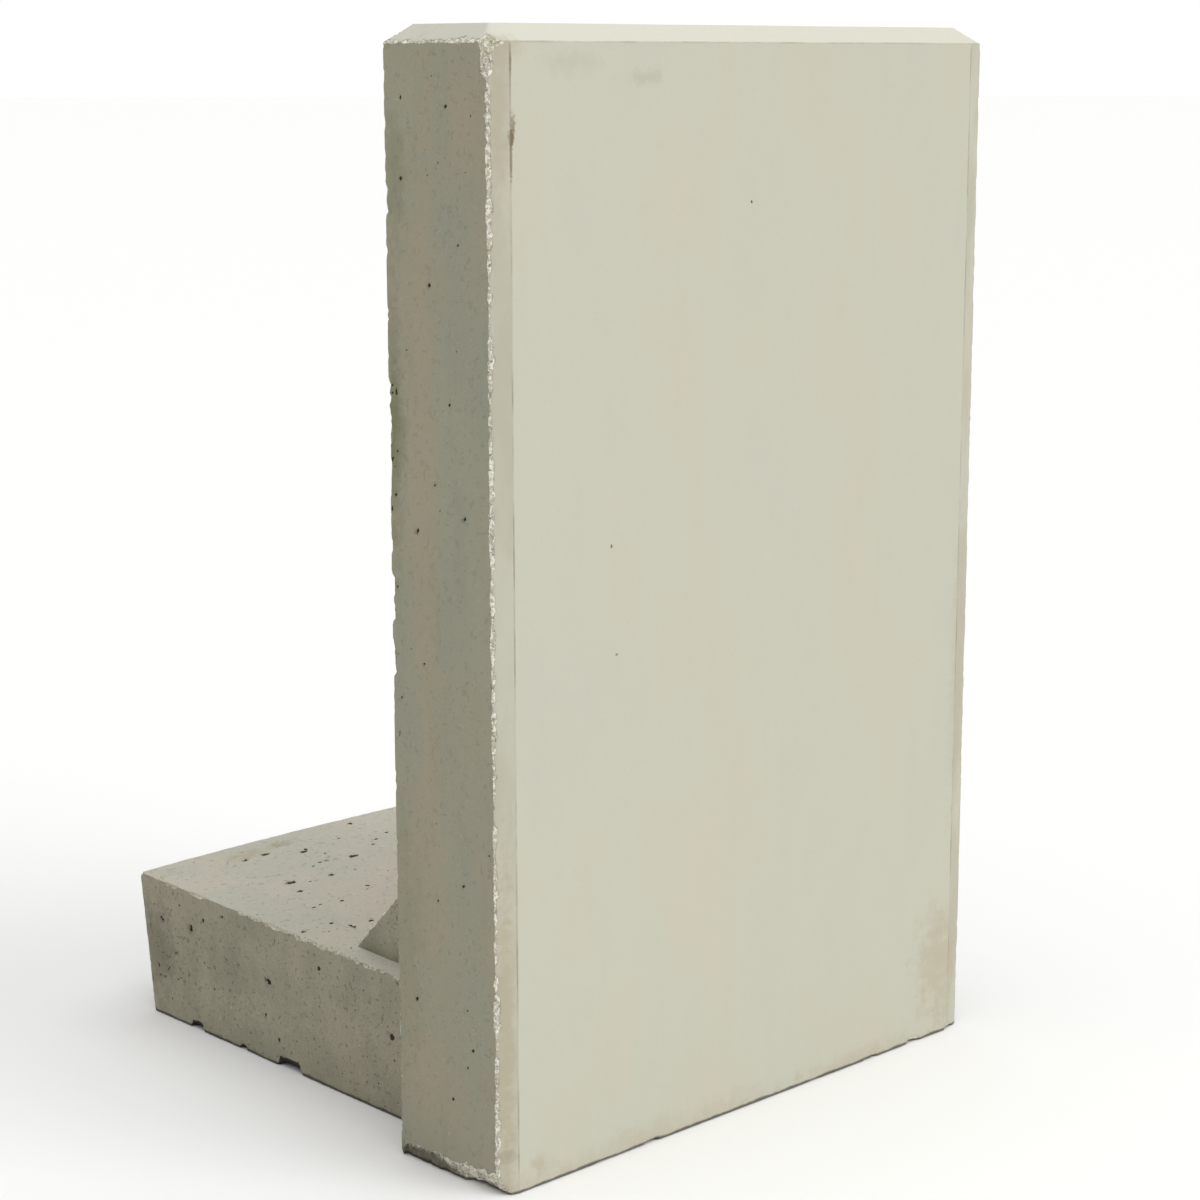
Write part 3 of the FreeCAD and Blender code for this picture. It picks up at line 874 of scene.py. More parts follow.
        # Painted contact shadow, with some soil, along the bottom edge of the concrete.
        height_up = graph.add("SeparateXYZ", {0: place}).outputs[2]
        contact_shadow_and_soil = graph.plus(height_up, graph.times(graph.noise(place, 70.0, 3.0, 0.6), -0.003))
        contact_shadow_and_soil = graph.times(graph.rise(contact_shadow_and_soil, 0.0012, -0.0004), 0.75)
        colour = graph.blend(contact_shadow_and_soil, colour, DEEP_SHADE)

        faced_bump, plain_bump = self.bump
        lumpy = graph.plus(grain.outputs["Height"], graph.noise(place, 150.0, 4.0, 0.65))
        lumpy = graph.plus(lumpy, skin.outputs["Height"])
        fine = graph.times(lumpy, graph.rise(faced, 0.0, 1.0, plain_bump, faced_bump))
        rough = graph.times(graph.times(chunks, wear_and_shade.outputs["Broken"]), -1.6)
        sunk = graph.times(holes, -2.0)
        height = graph.plus(graph.plus(fine, rough), sunk)
        bump = graph.add("Bump", {"Strength": 0.7, "Distance": 0.0007, "Height": height})
        graph.feed(shader.inputs["Base Color"], colour)
        graph.feed(shader.inputs["Roughness"], graph.rise(mottle.outputs["Small"], 0.0, 1.0, 0.84, 0.96))
        graph.feed(shader.inputs["Normal"], bump.outputs[0])
        shader.inputs["Specular IOR Level"].default_value = 0.25
        return material

    def _crease(self, graph: Graph, place: Feed, faced: Feed, colour: Feed) -> Socket:
        """The side bevels' browner tint, and fine dark lines where the bevels meet the face.

        The lines are stronger here and there. They lie at the crease's distance from the middle and at its
        height, on the front only.
        """
        aside, high = self.crease
        axes = graph.add("SeparateXYZ", {0: place}).outputs
        away = graph.maths("SUBTRACT", graph.maths("ABSOLUTE", axes[0]), aside)
        band = graph.times(graph.rise(away, 0.0, 0.0006), graph.rise(axes[2], high, high - 0.001))
        cloudy = graph.noise(graph.moved(place, (0.0, 3.0, 0.0), (1.0, 1.0, 0.4)), 26.0, 4.0, 0.6)
        cloudy = graph.rise(cloudy, 0.3, 0.7)
        band = graph.times(band, graph.rise(cloudy, 0.0, 1.0, 0.15, 0.62))
        colour = graph.blend(graph.times(band, faced), colour, BEVEL_TINT)
        patchy = graph.rise(graph.noise(place, 30.0, 3.0, 0.6), 0.35, 0.7, 0.1, 0.6)
        line = graph.rise(graph.maths("ABSOLUTE", away), 0.0009, 0.0003)
        level = graph.rise(graph.maths("ABSOLUTE", graph.maths("SUBTRACT", axes[2], high)), 0.0009, 0.0003)
        line = graph.maths("MAXIMUM", line, graph.times(level, 0.7))
        line = graph.times(line, graph.rise(axes[1], -0.24, -0.244))
        return graph.blend(graph.times(graph.times(line, patchy), faced), colour, CREASE)


@dataclass(frozen=True)
class CageFinish:
    """Steel, wire or plastic sealed in the concrete: a clouded base with spots and a fine bump."""

    name: str
    base: Colour
    clouded: Colour
    spots: Colour
    spot_share: float
    roughness: tuple[float, float]
    metallic: float
    ribs_per_metre: float = 0.0

    def build(self, effects: Effects) -> bpy.types.Material:
        """Make the material.

        Args:
            effects: the shared shader groups.

        Returns:
            The new material.
        """
        material, graph, shader = start_material(self.name)
        place = graph.place()
        grain = graph.group(effects.grain, {"Place": place, "Scale": 900.0})
        mottle = graph.group(effects.mottle, {"Place": place, "Scale": 40.0})
        colour = graph.blend(mottle.outputs["Broad"], self.base, self.clouded)
        spots = graph.times(graph.rise(mottle.outputs["Middle"], 0.5, 0.8), self.spot_share)
        colour = graph.blend(spots, colour, self.spots)
        height = grain.outputs["Height"]
        if self.ribs_per_metre:
            inputs = {"Vector": place, "Scale": self.ribs_per_metre / 20.0}
            waves = graph.add("TexWave", inputs, bands_direction="DIAGONAL")
            height = graph.plus(height, graph.times(waves.outputs["Fac"], 1.5))
        bump = graph.add("Bump", {"Strength": 0.4, "Distance": 0.0003, "Height": height})
        low, high = self.roughness
        graph.feed(shader.inputs["Base Color"], colour)
        graph.feed(shader.inputs["Roughness"], graph.rise(grain.outputs["Speckle"], 0.0, 1.0, low, high))
        graph.feed(shader.inputs["Metallic"], graph.rise(spots, 0.0, 1.0, self.metallic, 0.0))
        graph.feed(shader.inputs["Normal"], bump.outputs[0])
        return material


class CageSteel(Enum):
    """The finishes of what lies sealed in the concrete."""

    BAR = CageFinish(
        "ribbed_bar_steel",
        *(paint(96, 84, 74), paint(126, 92, 66), paint(142, 84, 48)),
        *(0.7, (0.5, 0.8), 0.85, 120.0),
    )
    WIRE = CageFinish(
        "annealed_tie_wire",
        *(paint(54, 52, 50), paint(74, 66, 60), paint(110, 76, 52)),
        *(0.4, (0.4, 0.65), 0.9),
    )
    WHEEL = CageFinish(
        "spacer_wheel_plastic",
        *(paint(120, 124, 126), paint(112, 116, 118), paint(140, 142, 140)),
        *(0.2, (0.45, 0.6), 0.0),
    )


@dataclass
class Piece:
    """What the casting's three shapes share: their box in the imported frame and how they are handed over."""

    name: str
    low: np.ndarray
    high: np.ndarray

    def hand_over(self, surface: Surface, material: bpy.types.Material) -> None:
        """Make the object, dress it, hang it on the root body and hide the imported casting."""
        piece = surface.into_object(self.name)
        piece.data.materials.append(material)
        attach(piece, "root")
        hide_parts(CASTING)
        log.info("%s: %d faces", self.name, len(piece.data.polygons))


@dataclass
class Stem(Piece):
    """The upright wall: bevelled front, ragged arrises and a broken foot corner, sizes in millimetres."""

    side_bevel: float = 16.5
    side_bevel_depth: float = 4.5
    top_bevel: float = 15.0
    top_drop: float = 12.0

    def surface(self) -> Surface:
        """Shape the stem.

        The block is cut off below the top bevel. On its top side a point rises by the drop times its
        distance from the nearest edge over the bevel's width, at most once. At the front corners a point
        moves back by the bevel's depth times how far it is into the bevel, fading to nothing at the rear.

        Returns:
            The shaped surface.
        """
        left, front, bottom = self.low
        right, top = self.high[0], self.high[2]
        rear = front + STEM_THICKNESS
        shoulder = top - self.top_drop
        width, bevel = self.side_bevel, self.top_bevel
        planes = (
            graded([left, left + width, right - width, right], 1.4, 4.4, 26.0),
            graded([front, front + bevel, rear - bevel, rear], 0.95, 2.9, 8.0),
            graded([bottom, bottom + 20.0, shoulder], 1.15, 2.8, 26.0),
        )
        surface = Surface(BlockSkin(planes, (Side.FRONT,), 14))
        flat, points = surface.skin.flat, surface.points
        on_top = surface.skin.on(Side.TOP)
        from_sides = np.minimum(flat[:, 0] - left, right - flat[:, 0])
        from_edge = np.minimum(from_sides, np.minimum(flat[:, 1] - front, rear - flat[:, 1]))
        climb = np.where(on_top, np.clip(from_edge / bevel, 0.0, 1.0), 0.0)
        points[:, 2] += self.top_drop * climb
        half = (right - left) / 2.0
        corner = np.clip((np.abs(flat[:, 0]) - (half - width - bevel * climb)) / width, 0.0, 1.0)
        points[:, 1] += self.side_bevel_depth * corner * (rear - flat[:, 1]) / STEM_THICKNESS
        faced = surface.skin.on(Side.FRONT) | on_top
        surface.measures["faced"][faced] = 1.0
        self._roughen(surface)
        for pit in self.pits():
            surface.press_pit(pit)
        surface.sink_band(Side.LEFT, 1, self.came_off(front, rear))
        for arris in self.arrises(left, right, front, rear, bottom, shoulder):
            surface.break_arris(arris)
        return surface

    @staticmethod
    def came_off(front: float, rear: float) -> Band:
        """The strip of skin lost from the bottom of the left end, from its rear to near its front."""
        places = (*(front + step for step in (20.0, 34.0, 40.0, 60.0)), rear - 12.0, rear - 3.0, rear - 1.0)
        return Band(places, (-1.0, 2.0, 12.5, 13.0, 13.0, 12.0, -1.0), 3.6, 1.8)

    @staticmethod
    def _roughen(surface: Surface) -> None:
        """Sink the sides but the formed front a little unevenly, the rear most."""
        surface.swell(Side.LEFT, 46.0, 0.3, 4)
        surface.swell(Side.RIGHT, 46.0, 0.2, 4)
        surface.swell(Side.REAR, 60.0, 0.7, 4)
        surface.swell(Side.TOP, 90.0, 0.15)

    def pits(self) -> list[Pit]:
        """The air holes of the two ends and the rear."""
        left, right, front = self.low[0], self.high[0], self.low[1]
        rear = front + STEM_THICKNESS
        rows = (
            (-184.0, 630.0, 1.9, 2.0),
            (-217.0, 476.0, 2.2, 3.0),
            (-168.0, 461.0, 2.4, 3.0, 0.7),
            (-188.0, 496.0, 1.5, 1.4, 0.7),
            (-204.0, 550.0, 1.4, 1.2),
            (-215.0, 656.0, 1.0, 0.8),
            (-174.0, 369.0, 1.2, 1.0),
            (-159.0, 122.0, 2.4, 2.0, 0.7),
            (-158.0, 752.0, 1.8, 1.0, 0.6),
            (-204.0, 747.0, 1.6, 1.4),
            (-157.0, 700.0, 1.9, 1.4),
            (-219.0, 101.0, 1.7, 1.4),
            (-197.0, 60.0, 1.5, 1.2),
        )
        chosen = [Pit((left, y, z), Side.LEFT, *shape) for y, z, *shape in rows]
        low, high = (front + 8.0, 24.0), (rear - 5.0, 780.0)
        ends = scatter(11, 16, Side.LEFT, (left, *low), (left, *high), (0.6, 1.4))
        edge = (left, rear - 9.0, 300.0), (left, rear - 1.0, 560.0)
        ends += scatter(14, 18, Side.LEFT, *edge, (0.6, 1.6))
        ends += scatter(12, 22, Side.RIGHT, (right, *low), (right, *high), (0.9, 2.4))
        behind = (left + 6.0, rear, 120.0), (right - 6.0, rear, 780.0)
        ends += scatter(13, 44, Side.REAR, *behind, (2.6, 4.6))
        return chosen + ends

    def arrises(
        self, left: float, right: float, front: float, rear: float, bottom: float, top: float
    ) -> list[Arris]:
        """The stem's broken edges and corners."""
        bevelled = front + self.side_bevel_depth
        chips = (396.0, 426.0, 3.6), (358.0, 376.0, 3.2), (520.0, 560.0, 2.8), (676.0, 694.0, 2.6)
        nicks = (-102.0, 3.6), (140.0, 2.6), (190.0, 3.0), (238.0, 4.0)
        near_top, near_front = (2, top - 20.0, top + 20.0), (1, front - 10.0, front + 36.0)
        return [
            Arris((left, bevelled, 0.0), (-1.0, -0.85, 0.0), 1.7, 1.6, 2.3),
            Arris((right, bevelled, 0.0), (1.0, -0.85, 0.0), 0.5, 1.2, 0.8),
            Arris((left, 0.0, top), (-1.0, 0.0, 0.75), 1.0, 1.9, 1.6),
            Arris((right, 0.0, top), (1.0, 0.0, 0.5), 0.2, 1.8, 0.8),
            Arris((left, rear, 0.0), (-1.0, 0.9, 0.0), 1.2, 2.6, 2.6),
            *[
                Arris((left, rear, 0.0), (-1.0, 0.8, 0.0), leg, 1.0, 2.4, (2, low, high))
                for low, high, leg in chips
            ],
            *[
                Arris((0.0, front, bottom), (0.0, -1.0, -0.9), leg, 1.2, 2.2, (0, x - 5.0, x + 5.0), 4.0)
                for x, leg in nicks
            ],
            Arris((right, rear, 0.0), (1.0, 0.9, 0.0), 1.2, 2.8, 1.2),
            Arris((0.0, rear, top), (0.0, 1.0, 0.5), 0.6, 2.0, 1.0),
            Arris((0.0, front, bottom), (0.0, -1.0, -0.9), -0.4, 3.0, 1.0),
            Arris((0.0, rear, bottom), (0.0, 1.0, -1.0), 1.0, 2.0, 0.8),
            Arris((right, 0.0, bottom), (1.0, 0.0, -1.0), 1.4, 2.6, 1.0),
            Arris((left, bevelled, top), (-1.0, -0.9, 0.75), 8.0, 2.0, 3.6),
            Arris((left, bevelled, top), (-1.0, -0.55, 0.0), 4.2, 1.8, 2.2, near_top, 10.0),
            Arris((left, 0.0, bottom), (-1.0, 0.0, -0.62), 11.5, 2.4, 3.4, near_front, 8.0),
            Arris((left, bevelled, bottom), (-0.8, -0.5, -1.0), 5.0, 1.5, 2.0),
        ]


@dataclass
class Foot(Piece):
    """The foot behind the stem, floated on top and honeycombed near its toe: sizes in millimetres."""

    inset: float = 40.0
    toe_thickness: float = 117.0
    undercut: float = 16.0
    crown: float = 3.0
    embedded: float = 20.0

    def surface(self) -> Surface:
        """Shape the foot as a plain block, then lean it.

        The thickness grows evenly from root to toe, and the toe leans back by the undercut towards its
        bottom. The top is crowned by the crown times (1 - (x / half)^2), times the share of the way to the
        toe to the power of 1.5.

        Returns:
            The shaped surface.
        """
        left, right = self.low[0] + self.inset, self.high[0] - self.inset
        root, toe = self.low[1] + STEM_THICKNESS, self.high[1]
        planes = (
            graded([left, right], 1.1, 2.6, 14.0),
            graded([root - self.embedded, root, toe], 1.2, 2.3, 14.0),
            graded([0.0, self.toe_thickness], 1.1, 2.4, 12.0),
        )
        surface = Surface(BlockSkin(planes, (Side.UNDER, Side.FRONT)))
        surface.measures["faced"][surface.skin.on(Side.TOP)] = 1.0
        surface.swell(Side.TOP, 95.0, 0.6, 4)
        for side in (Side.LEFT, Side.RIGHT, Side.REAR):
            surface.swell(side, 40.0, 0.5, 4)
            surface.swell(side, 5.0, 0.22)
        surface.swell(Side.TOP, 7.0, 0.2)
        for pit in self.pits(left, right, root, toe):
            surface.press_pit(pit)
        for arris in self.arrises(left, right, toe):
            surface.break_arris(arris)
        points = surface.points
        out = np.clip((points[:, 1] - root) / (toe - root), 0.0, 1.0)
        up = points[:, 2] / self.toe_thickness
        across = points[:, 0] / right
        thick = ROOT_THICKNESS + (self.toe_thickness - ROOT_THICKNESS) * out
        points[:, 1] -= self.undercut * (1.0 - up) * out
        points[:, 2] = up * (thick + self.crown * np.clip(1.0 - across**2, 0.0, 1.0) * out**1.5)
        return surface

    def pits(self, left: float, right: float, root: float, toe: float) -> list[Pit]:
        """The holes of the floated top, the two sides and the toe."""
        top = self.toe_thickness
        on_top = (
            (-118.0, 231.0, 4.8, 1.7, 2.2, False),
            (-135.0, 216.0, 4.6, 1.6, 2.4, False),
            (-82.0, 228.0, 4.8, 1.8, 3.4, False),
            (-106.0, 217.0, 3.3, 2.2, 1.6),
            (-127.0, 217.0, 3.0, 2.4, 1.2),
            (-77.0, 201.0, 3.2, 2.2, 1.4),
            (-173.0, 192.0, 3.8, 1.4, 2.0, False),
            (-137.0, 164.0, 3.2, 1.8, 1.2, False),
            (-133.0, 143.0, 3.6, 2.8, 1.9),
            (-143.0, 120.0, 2.4, 1.8, 1.4),
            (-54.0, 164.0, 3.2, 2.6, 1.9),
            (-20.0, 178.0, 2.3, 2.2, 1.3),
            (-9.0, 187.0, 2.2, 2.2, 1.3),
            (-85.0, 167.0, 2.4, 2.0),
            (-97.0, 136.0, 2.3, 2.0, 1.3),
            (-93.0, 95.0, 2.2, 2.4, 1.2),
            (-171.0, 42.0, 2.2, 1.8, 1.3),
            (-144.0, 26.0, 2.0, 2.0),
            (1.0, 238.0, 2.6, 2.0, 1.4),
            (-131.0, 78.0, 2.0, 1.8),
        )
        on_left = (
            (184.0, 83.0, 3.4, 5.0, 0.75),
            (74.0, 62.0, 5.6, 2.2, 0.8, False),
            (77.0, 68.0, 2.6, 4.0, 1.4),
            (68.0, 21.0, 2.0, 2.0),
            (164.0, 95.0, 2.0, 2.2),
            (10.0, 96.0, 2.4, 1.6),
            (-79.0, 64.0, 3.0, 2.0),
        )
        chosen = [Pit((x, y, top), Side.TOP, *shape) for x, y, *shape in on_top]
        chosen += [Pit((left, y, z), Side.LEFT, *shape) for y, z, *shape in on_left]
        near_edge = (left + 6.0, root, top), (right - 6.0, toe - 8.0, top)
        holes = scatter(21, 150, Side.TOP, *near_edge, (1.1, 3.0), (1, 1.3))
        for seed, count, side, low, high, radii in (
            (22, 34, Side.LEFT, (left, 190.0, 28.0), (left, 238.0, 104.0), (0.6, 1.5)),
            (23, 50, Side.RIGHT, (right, 130.0, 10.0), (right, 232.0, 60.0), (0.9, 2.8)),
            (24, 22, Side.LEFT, (left, root, 6.0), (left, toe - 14.0, 108.0), (0.6, 1.6)),
            (25, 50, Side.RIGHT, (right, root, 6.0), (right, toe - 14.0, 108.0), (0.9, 2.8)),
            (26, 60, Side.REAR, (left + 6.0, toe, 6.0), (right - 6.0, toe, 108.0), (1.2, 3.4)),
        ):
            holes += scatter(seed, count, side, low, high, radii)
        return chosen + holes

    def arrises(self, left: float, right: float, toe: float) -> list[Arris]:
        """The foot's broken edges and corners."""
        top = self.toe_thickness
        chips = (180.0, 192.0, 7.0), (118.0, 122.0, 5.0), (44.0, 68.0, 9.0)
        return [
            Arris((left, 0.0, top), (-1.0, 0.0, 0.9), 2.5, 1.8, 3.2),
            Arris((right, 0.0, top), (1.0, 0.0, 0.9), 1.2, 2.0, 2.2),
            Arris((0.0, toe, top), (0.0, 1.0, 0.9), 1.0, 1.8, 1.8),
            Arris((left, toe, 0.0), (-1.0, 1.0, 0.0), 1.0, 1.6, 1.8),
            Arris((right, toe, 0.0), (1.0, 1.0, 0.0), 1.4, 2.0, 1.4),
            Arris((left, toe, top), (-1.0, 0.9, 1.1), 4.5, 2.0, 2.6),
            Arris((right, toe, top), (1.0, 1.0, 1.0), 5.0, 2.0, 2.0),
            Arris((left, 0.0, 0.0), (-1.0, 0.0, -1.0), 0.4, 2.0, 1.0),
            Arris((right, 0.0, 0.0), (1.0, 0.0, -1.0), 1.0, 2.4, 1.0),
            Arris((0.0, toe, 0.0), (0.0, 1.0, -1.0), 1.0, 2.2, 1.0),
            *[
                Arris((left, 0.0, 0.0), (-1.0, 0.0, -0.9), leg, 1.0, 1.2, (1, low, high), 6.0)
                for low, high, leg in chips
            ],
        ]


@dataclass
class Haunch(Piece):
    """The 45 degree fillet between stem and foot: sizes in millimetres."""

    inset: float = 60.0
    leg: float = 128.0
    embedded: float = 10.0

    def surface(self) -> Surface:
        """Shape the haunch.

        A block over x, u and v is mapped to the wedge: u and v run from 0 at the inner corner to 1, and the
        place is (1 - u)(1 - v), u (1 - v), (1 - u) v and u v times the inner corner, the end on the foot,
        the end on the stem and the middle of the slope. The block's rear and top together make the slope.

        Returns:
            The shaped surface.
        """
        left, right = self.low[0] + self.inset, self.high[0] - self.inset
        root = self.low[1] + STEM_THICKNESS
        reach = self.leg + 2.0 * self.embedded
        inner = np.array([root - self.embedded, ROOT_THICKNESS - self.embedded])
        steps = graded([0.0, 1.0], 0.012, 0.026, 0.15)
        planes = (graded([left, right], 1.2, 3.0, 16.0), steps, steps)
        surface = Surface(BlockSkin(planes, (Side.UNDER, Side.FRONT)))
        u, v = surface.skin.flat[:, 1], surface.skin.flat[:, 2]
        weights = np.stack([u * (1.0 - v), (1.0 - u) * v, u * v], axis=1)
        ends = np.array([[reach, 0.0], [0.0, reach], [reach / 2.0, reach / 2.0]])
        surface.points[:, 1:] = inner + weights @ ends
        surface.skin.flat[:, 1:] = surface.points[:, 1:]
        return self._roughen(surface, left, right, inner, reach)

    def _roughen(
        self, surface: Surface, left: float, right: float, inner: np.ndarray, reach: float
    ) -> Surface:
        """Sink the slope and the two ends unevenly and break the slope's end edges."""
        points = surface.points
        slope = (points[:, 1] - inner[0] + points[:, 2] - inner[1]) > reach - 0.01
        lumps = 0.5 * (1.0 - LUMPS.layered(points, 50.0, 4))
        lumps += 1.5 * np.clip(LUMPS.at(points, 9.0) - 0.45, 0.0, 1.0)
        surface.points[slope, 1:] -= (lumps * math.sqrt(0.5))[slope, None]
        for at, direction in ((left, -1.0), (right, 1.0)):
            end = surface.skin.flat[:, 0] == at
            surface.points[end, 0] -= direction * 0.4 * (1.0 - LUMPS.layered(points, 30.0, 4))[end]
            edge = (at, inner[0] + reach / 2.0, inner[1] + reach / 2.0)
            surface.break_arris(Arris(edge, (direction, 0.7, 0.7), 1.6, 1.8, 1.2))
        return surface


STEM_CONCRETE = ConcreteFinish(
    "stem_concrete",
    FORMED_FACE,
    END_FACE,
    BubbleSpread(26.0, 0.1, 0.028),
    BubbleSpread(62.0, 0.16, 0.09),
    (
        on_end(-0.146, 0.53, 0.012, 0.16, ALGAE, 0.32, 0.8),
        on_end(-0.150, 0.70, 0.016, 0.06, ALGAE, 0.3, 0.8),
        on_end(-0.150, 0.16, 0.030, 0.14, ALGAE, 0.2, 0.8),
        on_front(0.220, 0.060, 0.036, 0.066, RUST_STAIN, 0.36, 0.9),
        on_front(0.236, 0.30, 0.014, 0.16, RUST_STAIN, 0.2, 0.8),
        on_front(-0.11, 0.765, 0.022, 0.008, DAMP_STAIN, 0.22, 0.9),
        on_front(-0.18, 0.775, 0.035, 0.012, DAMP_STAIN, 0.14, 0.9),
        on_front(-0.243, 0.74, 0.009, 0.07, RUST_STAIN, 0.4, 0.8),
        on_front(-0.243, 0.10, 0.010, 0.20, RUST_STAIN, 0.55, 0.8),
        on_front(-0.2316, 0.735, 0.0030, 0.012, CREASE, 0.7, 0.8),
        on_front(-0.2330, 0.7265, 0.0030, 0.009, CREASE, 0.95, 0.6),
        on_front(-0.2333, 0.712, 0.0016, 0.018, CREASE, 0.7, 0.6),
        on_front(-0.2333, 0.775, 0.0014, 0.012, CREASE, 0.6, 0.6),
        on_end(-0.178, 0.45, 0.022, 0.5, END_BROWN, 0.4, 0.9),
        on_end(-0.144, 0.527, 0.018, 0.055, ALGAE, 0.6, 0.9),
        on_front(-0.215, 0.016, 0.010, 0.012, RUST_STAIN, 0.35, 0.9),
        on_front(-0.242, 0.028, 0.0085, 0.007, DARK_SAND_AND_HOLE_SHADE, 0.2, 0.4),
        on_front(-0.10, 0.0, 0.20, 0.020, RUST_STAIN, 0.22, 0.9),
        on_front(0.12, 0.0, 0.12, 0.016, RUST_STAIN, 0.25, 0.9),
        # A painted highlight over the top and its bevel.
        Stain((0.0, -0.2, 0.7955), (0.9, 0.9, 0.0078), TOP_HIGHLIGHT, 0.34, 0.12),
        # Tiny pores on the front, painted as dots of shade.
        on_front(-0.007, 0.678, 0.0011, 0.0013, DEEP_SHADE, 0.85, 0.3),
        on_front(-0.144, 0.448, 0.0012, 0.0016, DARK_SAND_AND_HOLE_SHADE, 0.7, 0.3),
        on_front(-0.139, 0.371, 0.0016, 0.0012, DARK_SAND_AND_HOLE_SHADE, 0.5, 0.3),
        on_front(-0.240, 0.785, 0.02, 0.012, RUST_STAIN, 0.35, 0.8),
    ),
    (
        # Painted shade, with some damp, over the broken strip under the lip.
        Stain((-0.25, -0.165, 0.0), (0.05, 0.046, 0.0115), SHADE_AND_DAMP, 0.85, 0.4),
        Stain((-0.25, -0.2455, 0.785), (0.02, 0.02, 0.012), LUMP_PASTE, 0.45, 0.8),
        # Painted shade, with greenish grime, on the chips of the rear left edge.
        Stain((-0.25, -0.14, 0.42), (0.012, 0.012, 0.44), EDGE_SHADE_AND_GRIME, 0.75, 0.6),
    ),
    (0.2335, 0.788),
    drawn_up=2.4,
)
FOOT_CONCRETE = ConcreteFinish(
    "foot_concrete",
    FLOATED_TOP,
    FOOT_SIDE,
    BubbleSpread(70.0, 0.12, 0.1),
    BubbleSpread(100.0, 0.15, 0.09),
    (
        Stain((-0.21, 0.225, 0.06), (0.03, 0.03, 0.06), DARK_SAND_AND_HOLE_SHADE, 0.3, 0.8),
        Stain((-0.118, 0.225, 0.117), (0.03, 0.012, 0.02), RUST_STAIN, 0.35, 0.8),
        Stain((-0.078, 0.229, 0.117), (0.02, 0.008, 0.02), DAMP_STAIN, 0.5, 0.8),
        Stain((-0.21, 0.12, 0.06), (0.03, 0.05, 0.03), DARK_SAND_AND_HOLE_SHADE, 0.12, 0.8),
    ),
    (
        # Painted shadow in the chips along the foot's bottom left edge.
        Stain((-0.21, 0.05, 0.0), (0.03, 0.30, 0.012), CHIP_SHADOW, 0.95, 0.2),
        Stain((-0.21, 0.05, 0.114), (0.02, 0.5, 0.016), EDGE_SAND, 0.6, 0.8),
        Stain((-0.21, 0.22, 0.116), (0.03, 0.04, 0.012), RUST_STAIN, 0.5, 0.8),
    ),
    bump=(0.5, 0.9),
)
HAUNCH_CONCRETE = ConcreteFinish(
    "haunch_concrete",
    FOOT_SIDE,
    FOOT_SIDE,
    BubbleSpread(70.0, 0.16, 0.1),
    BubbleSpread(80.0, 0.2, 0.1),
    bump=(0.6, 0.8),
)


@dataclass
class WallElement:
    """The whole element: the casting's three shapes and the finishes of the cage sealed in it."""

    effects: Effects

    def build_casting(self) -> None:
        """Build the stem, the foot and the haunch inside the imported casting's box."""
        low, high = (np.array(corner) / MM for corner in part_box(CASTING))
        for shape, finish in (
            (Stem("stem", low, high), STEM_CONCRETE),
            (Foot("foot", low, high), FOOT_CONCRETE),
            (Haunch("haunch", low, high), HAUNCH_CONCRETE),
        ):
            shape.hand_over(shape.surface(), finish.build(self.effects))

    def dress_cage(self) -> None:
        """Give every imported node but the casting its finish."""
        made = {kind: kind.value.build(self.effects) for kind in CageSteel}
        for name, node in frame["nodes"].items():
            if name == CASTING:
                continue
            kind = CageSteel.BAR
            if "spacers" in name:
                kind = CageSteel.WHEEL
            elif "wires" in name:
                kind = CageSteel.WIRE
            if not node.material_slots:
                node.data.materials.append(made[kind])
            for material_slot in node.material_slots:
                material_slot.material = made[kind]
            log.info("%s: %s", name, made[kind].name)


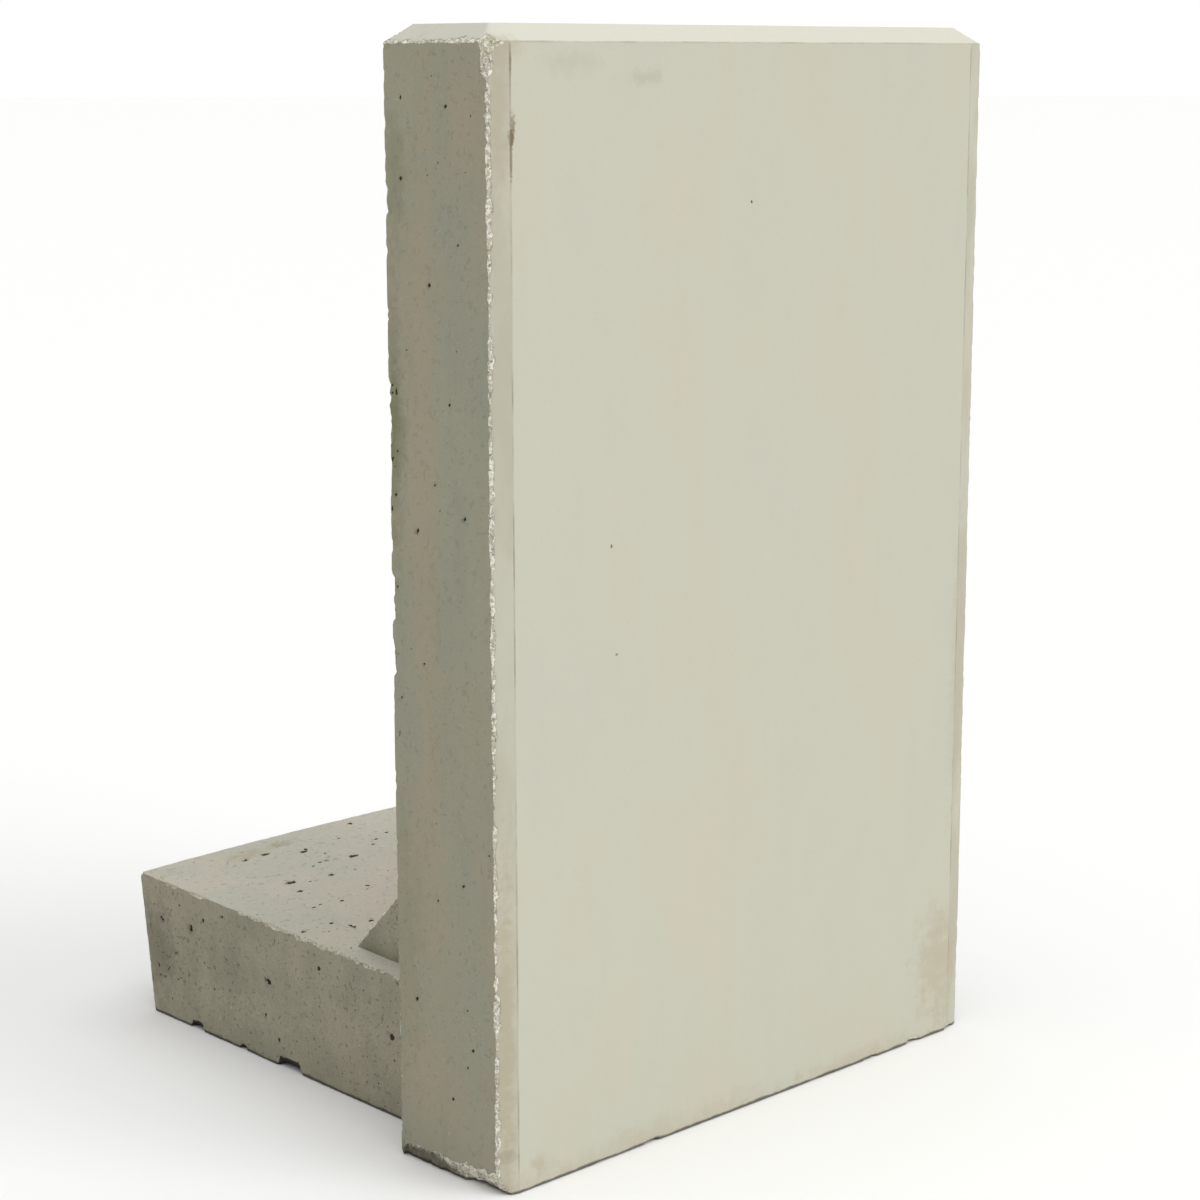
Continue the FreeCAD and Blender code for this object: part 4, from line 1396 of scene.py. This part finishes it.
@dataclass
class Studio:
    """A pale floor, soft lights and the camera: lengths in metres, angles in degrees."""

    camera_place: Point = (-1.3871, -1.5548, 0.7751)
    azimuth: float = -43.36
    elevation: float = 11.44
    roll: float = -0.1
    lens: float = 79.81
    floor_radius: float = 60.0
    ambient: float = 0.36
    overhead: float = 0.62
    front: float = 0.35
    backdrop: float = 1.0

    def build(self) -> None:
        """Make the floor, the lights and the camera."""
        self._floor()
        self._world()
        self._lamp("overhead_light", (0.0, -0.15, 1.0), 75.0, self.overhead)
        self._lamp("front_light", (0.32, -0.80, 0.51), 35.0, self.front)
        self._camera()
        bpy.context.scene.view_settings.view_transform = "Standard"
        log.info("studio built")

    def _floor(self) -> None:
        """A flat pale disc: a ring of points at the radius, joined to one face, just under the element."""
        angles = np.linspace(0.0, 2.0 * math.pi, 96, endpoint=False)
        ring = np.stack([np.cos(angles), np.sin(angles), np.full(96, -1e-5)], axis=1) * self.floor_radius
        mesh = bpy.data.meshes.new("studio_floor")
        mesh.from_pydata(ring.tolist(), [], [list(range(96))])
        material, _, shader = start_material("pale_floor")
        shader.inputs["Base Color"].default_value = (0.88, 0.88, 0.87, 1.0)
        shader.inputs["Roughness"].default_value = 0.9
        shader.inputs["Specular IOR Level"].default_value = 0.1
        mesh.materials.append(material)
        stand("studio_floor", mesh)

    def _world(self) -> None:
        """An even sky for light, and a nearly white one behind the element."""
        world = bpy.data.worlds.new("studio_sky")
        bpy.context.scene.world = world
        world.use_nodes = True
        graph = Graph(world.node_tree)
        sky = world.node_tree.nodes["Background"]
        seen = graph.add("LightPath").outputs["Is Camera Ray"]
        strength = graph.add("Mix", {0: seen, 2: self.ambient, 3: self.backdrop}, data_type="FLOAT")
        graph.feed(sky.inputs["Strength"], strength.outputs[0])
        sky.inputs["Color"].default_value = (1.0, 1.0, 1.0, 1.0)

    @staticmethod
    def _lamp(name: str, direction: Point, softness: float, strength: float) -> None:
        """An even far light from a direction, as wide as its softness in degrees.

        A strength of 1 lights a white surface that faces it to full white.
        """
        light = bpy.data.lights.new(name, "SUN")
        light.angle, light.energy = math.radians(softness), strength * math.pi
        stand(name, light).rotation_euler = Vector(direction).to_track_quat("Z", "Y").to_euler()

    def _camera(self) -> None:
        """Look back along the direction at the azimuth and elevation, then turn by the roll."""
        turn, lift, roll = (math.radians(angle) for angle in (self.azimuth, self.elevation, self.roll))
        back = Vector((math.sin(turn) * math.cos(lift), -math.cos(turn) * math.cos(lift), math.sin(lift)))
        side = Vector((0.0, 0.0, 1.0)).cross(back).normalized()
        upward = back.cross(side)
        right = math.cos(roll) * side + math.sin(roll) * upward
        above = math.cos(roll) * upward - math.sin(roll) * side
        data = bpy.data.cameras.new("camera")
        data.lens, data.sensor_width, data.clip_end = self.lens, 36.0, 200.0
        camera = stand("camera", data)
        turned = Matrix((right, above, back)).transposed().to_4x4()
        camera.matrix_world = Matrix.Translation(self.camera_place) @ turned
        bpy.context.scene.camera = camera


def main() -> None:
    """Build the element and its studio."""
    logging.basicConfig(level=logging.INFO, format="%(name)s %(message)s")
    element = WallElement(Effects())
    element.build_casting()
    element.dress_cage()
    Studio().build()
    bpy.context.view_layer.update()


if __name__ == "__main__":
    main()
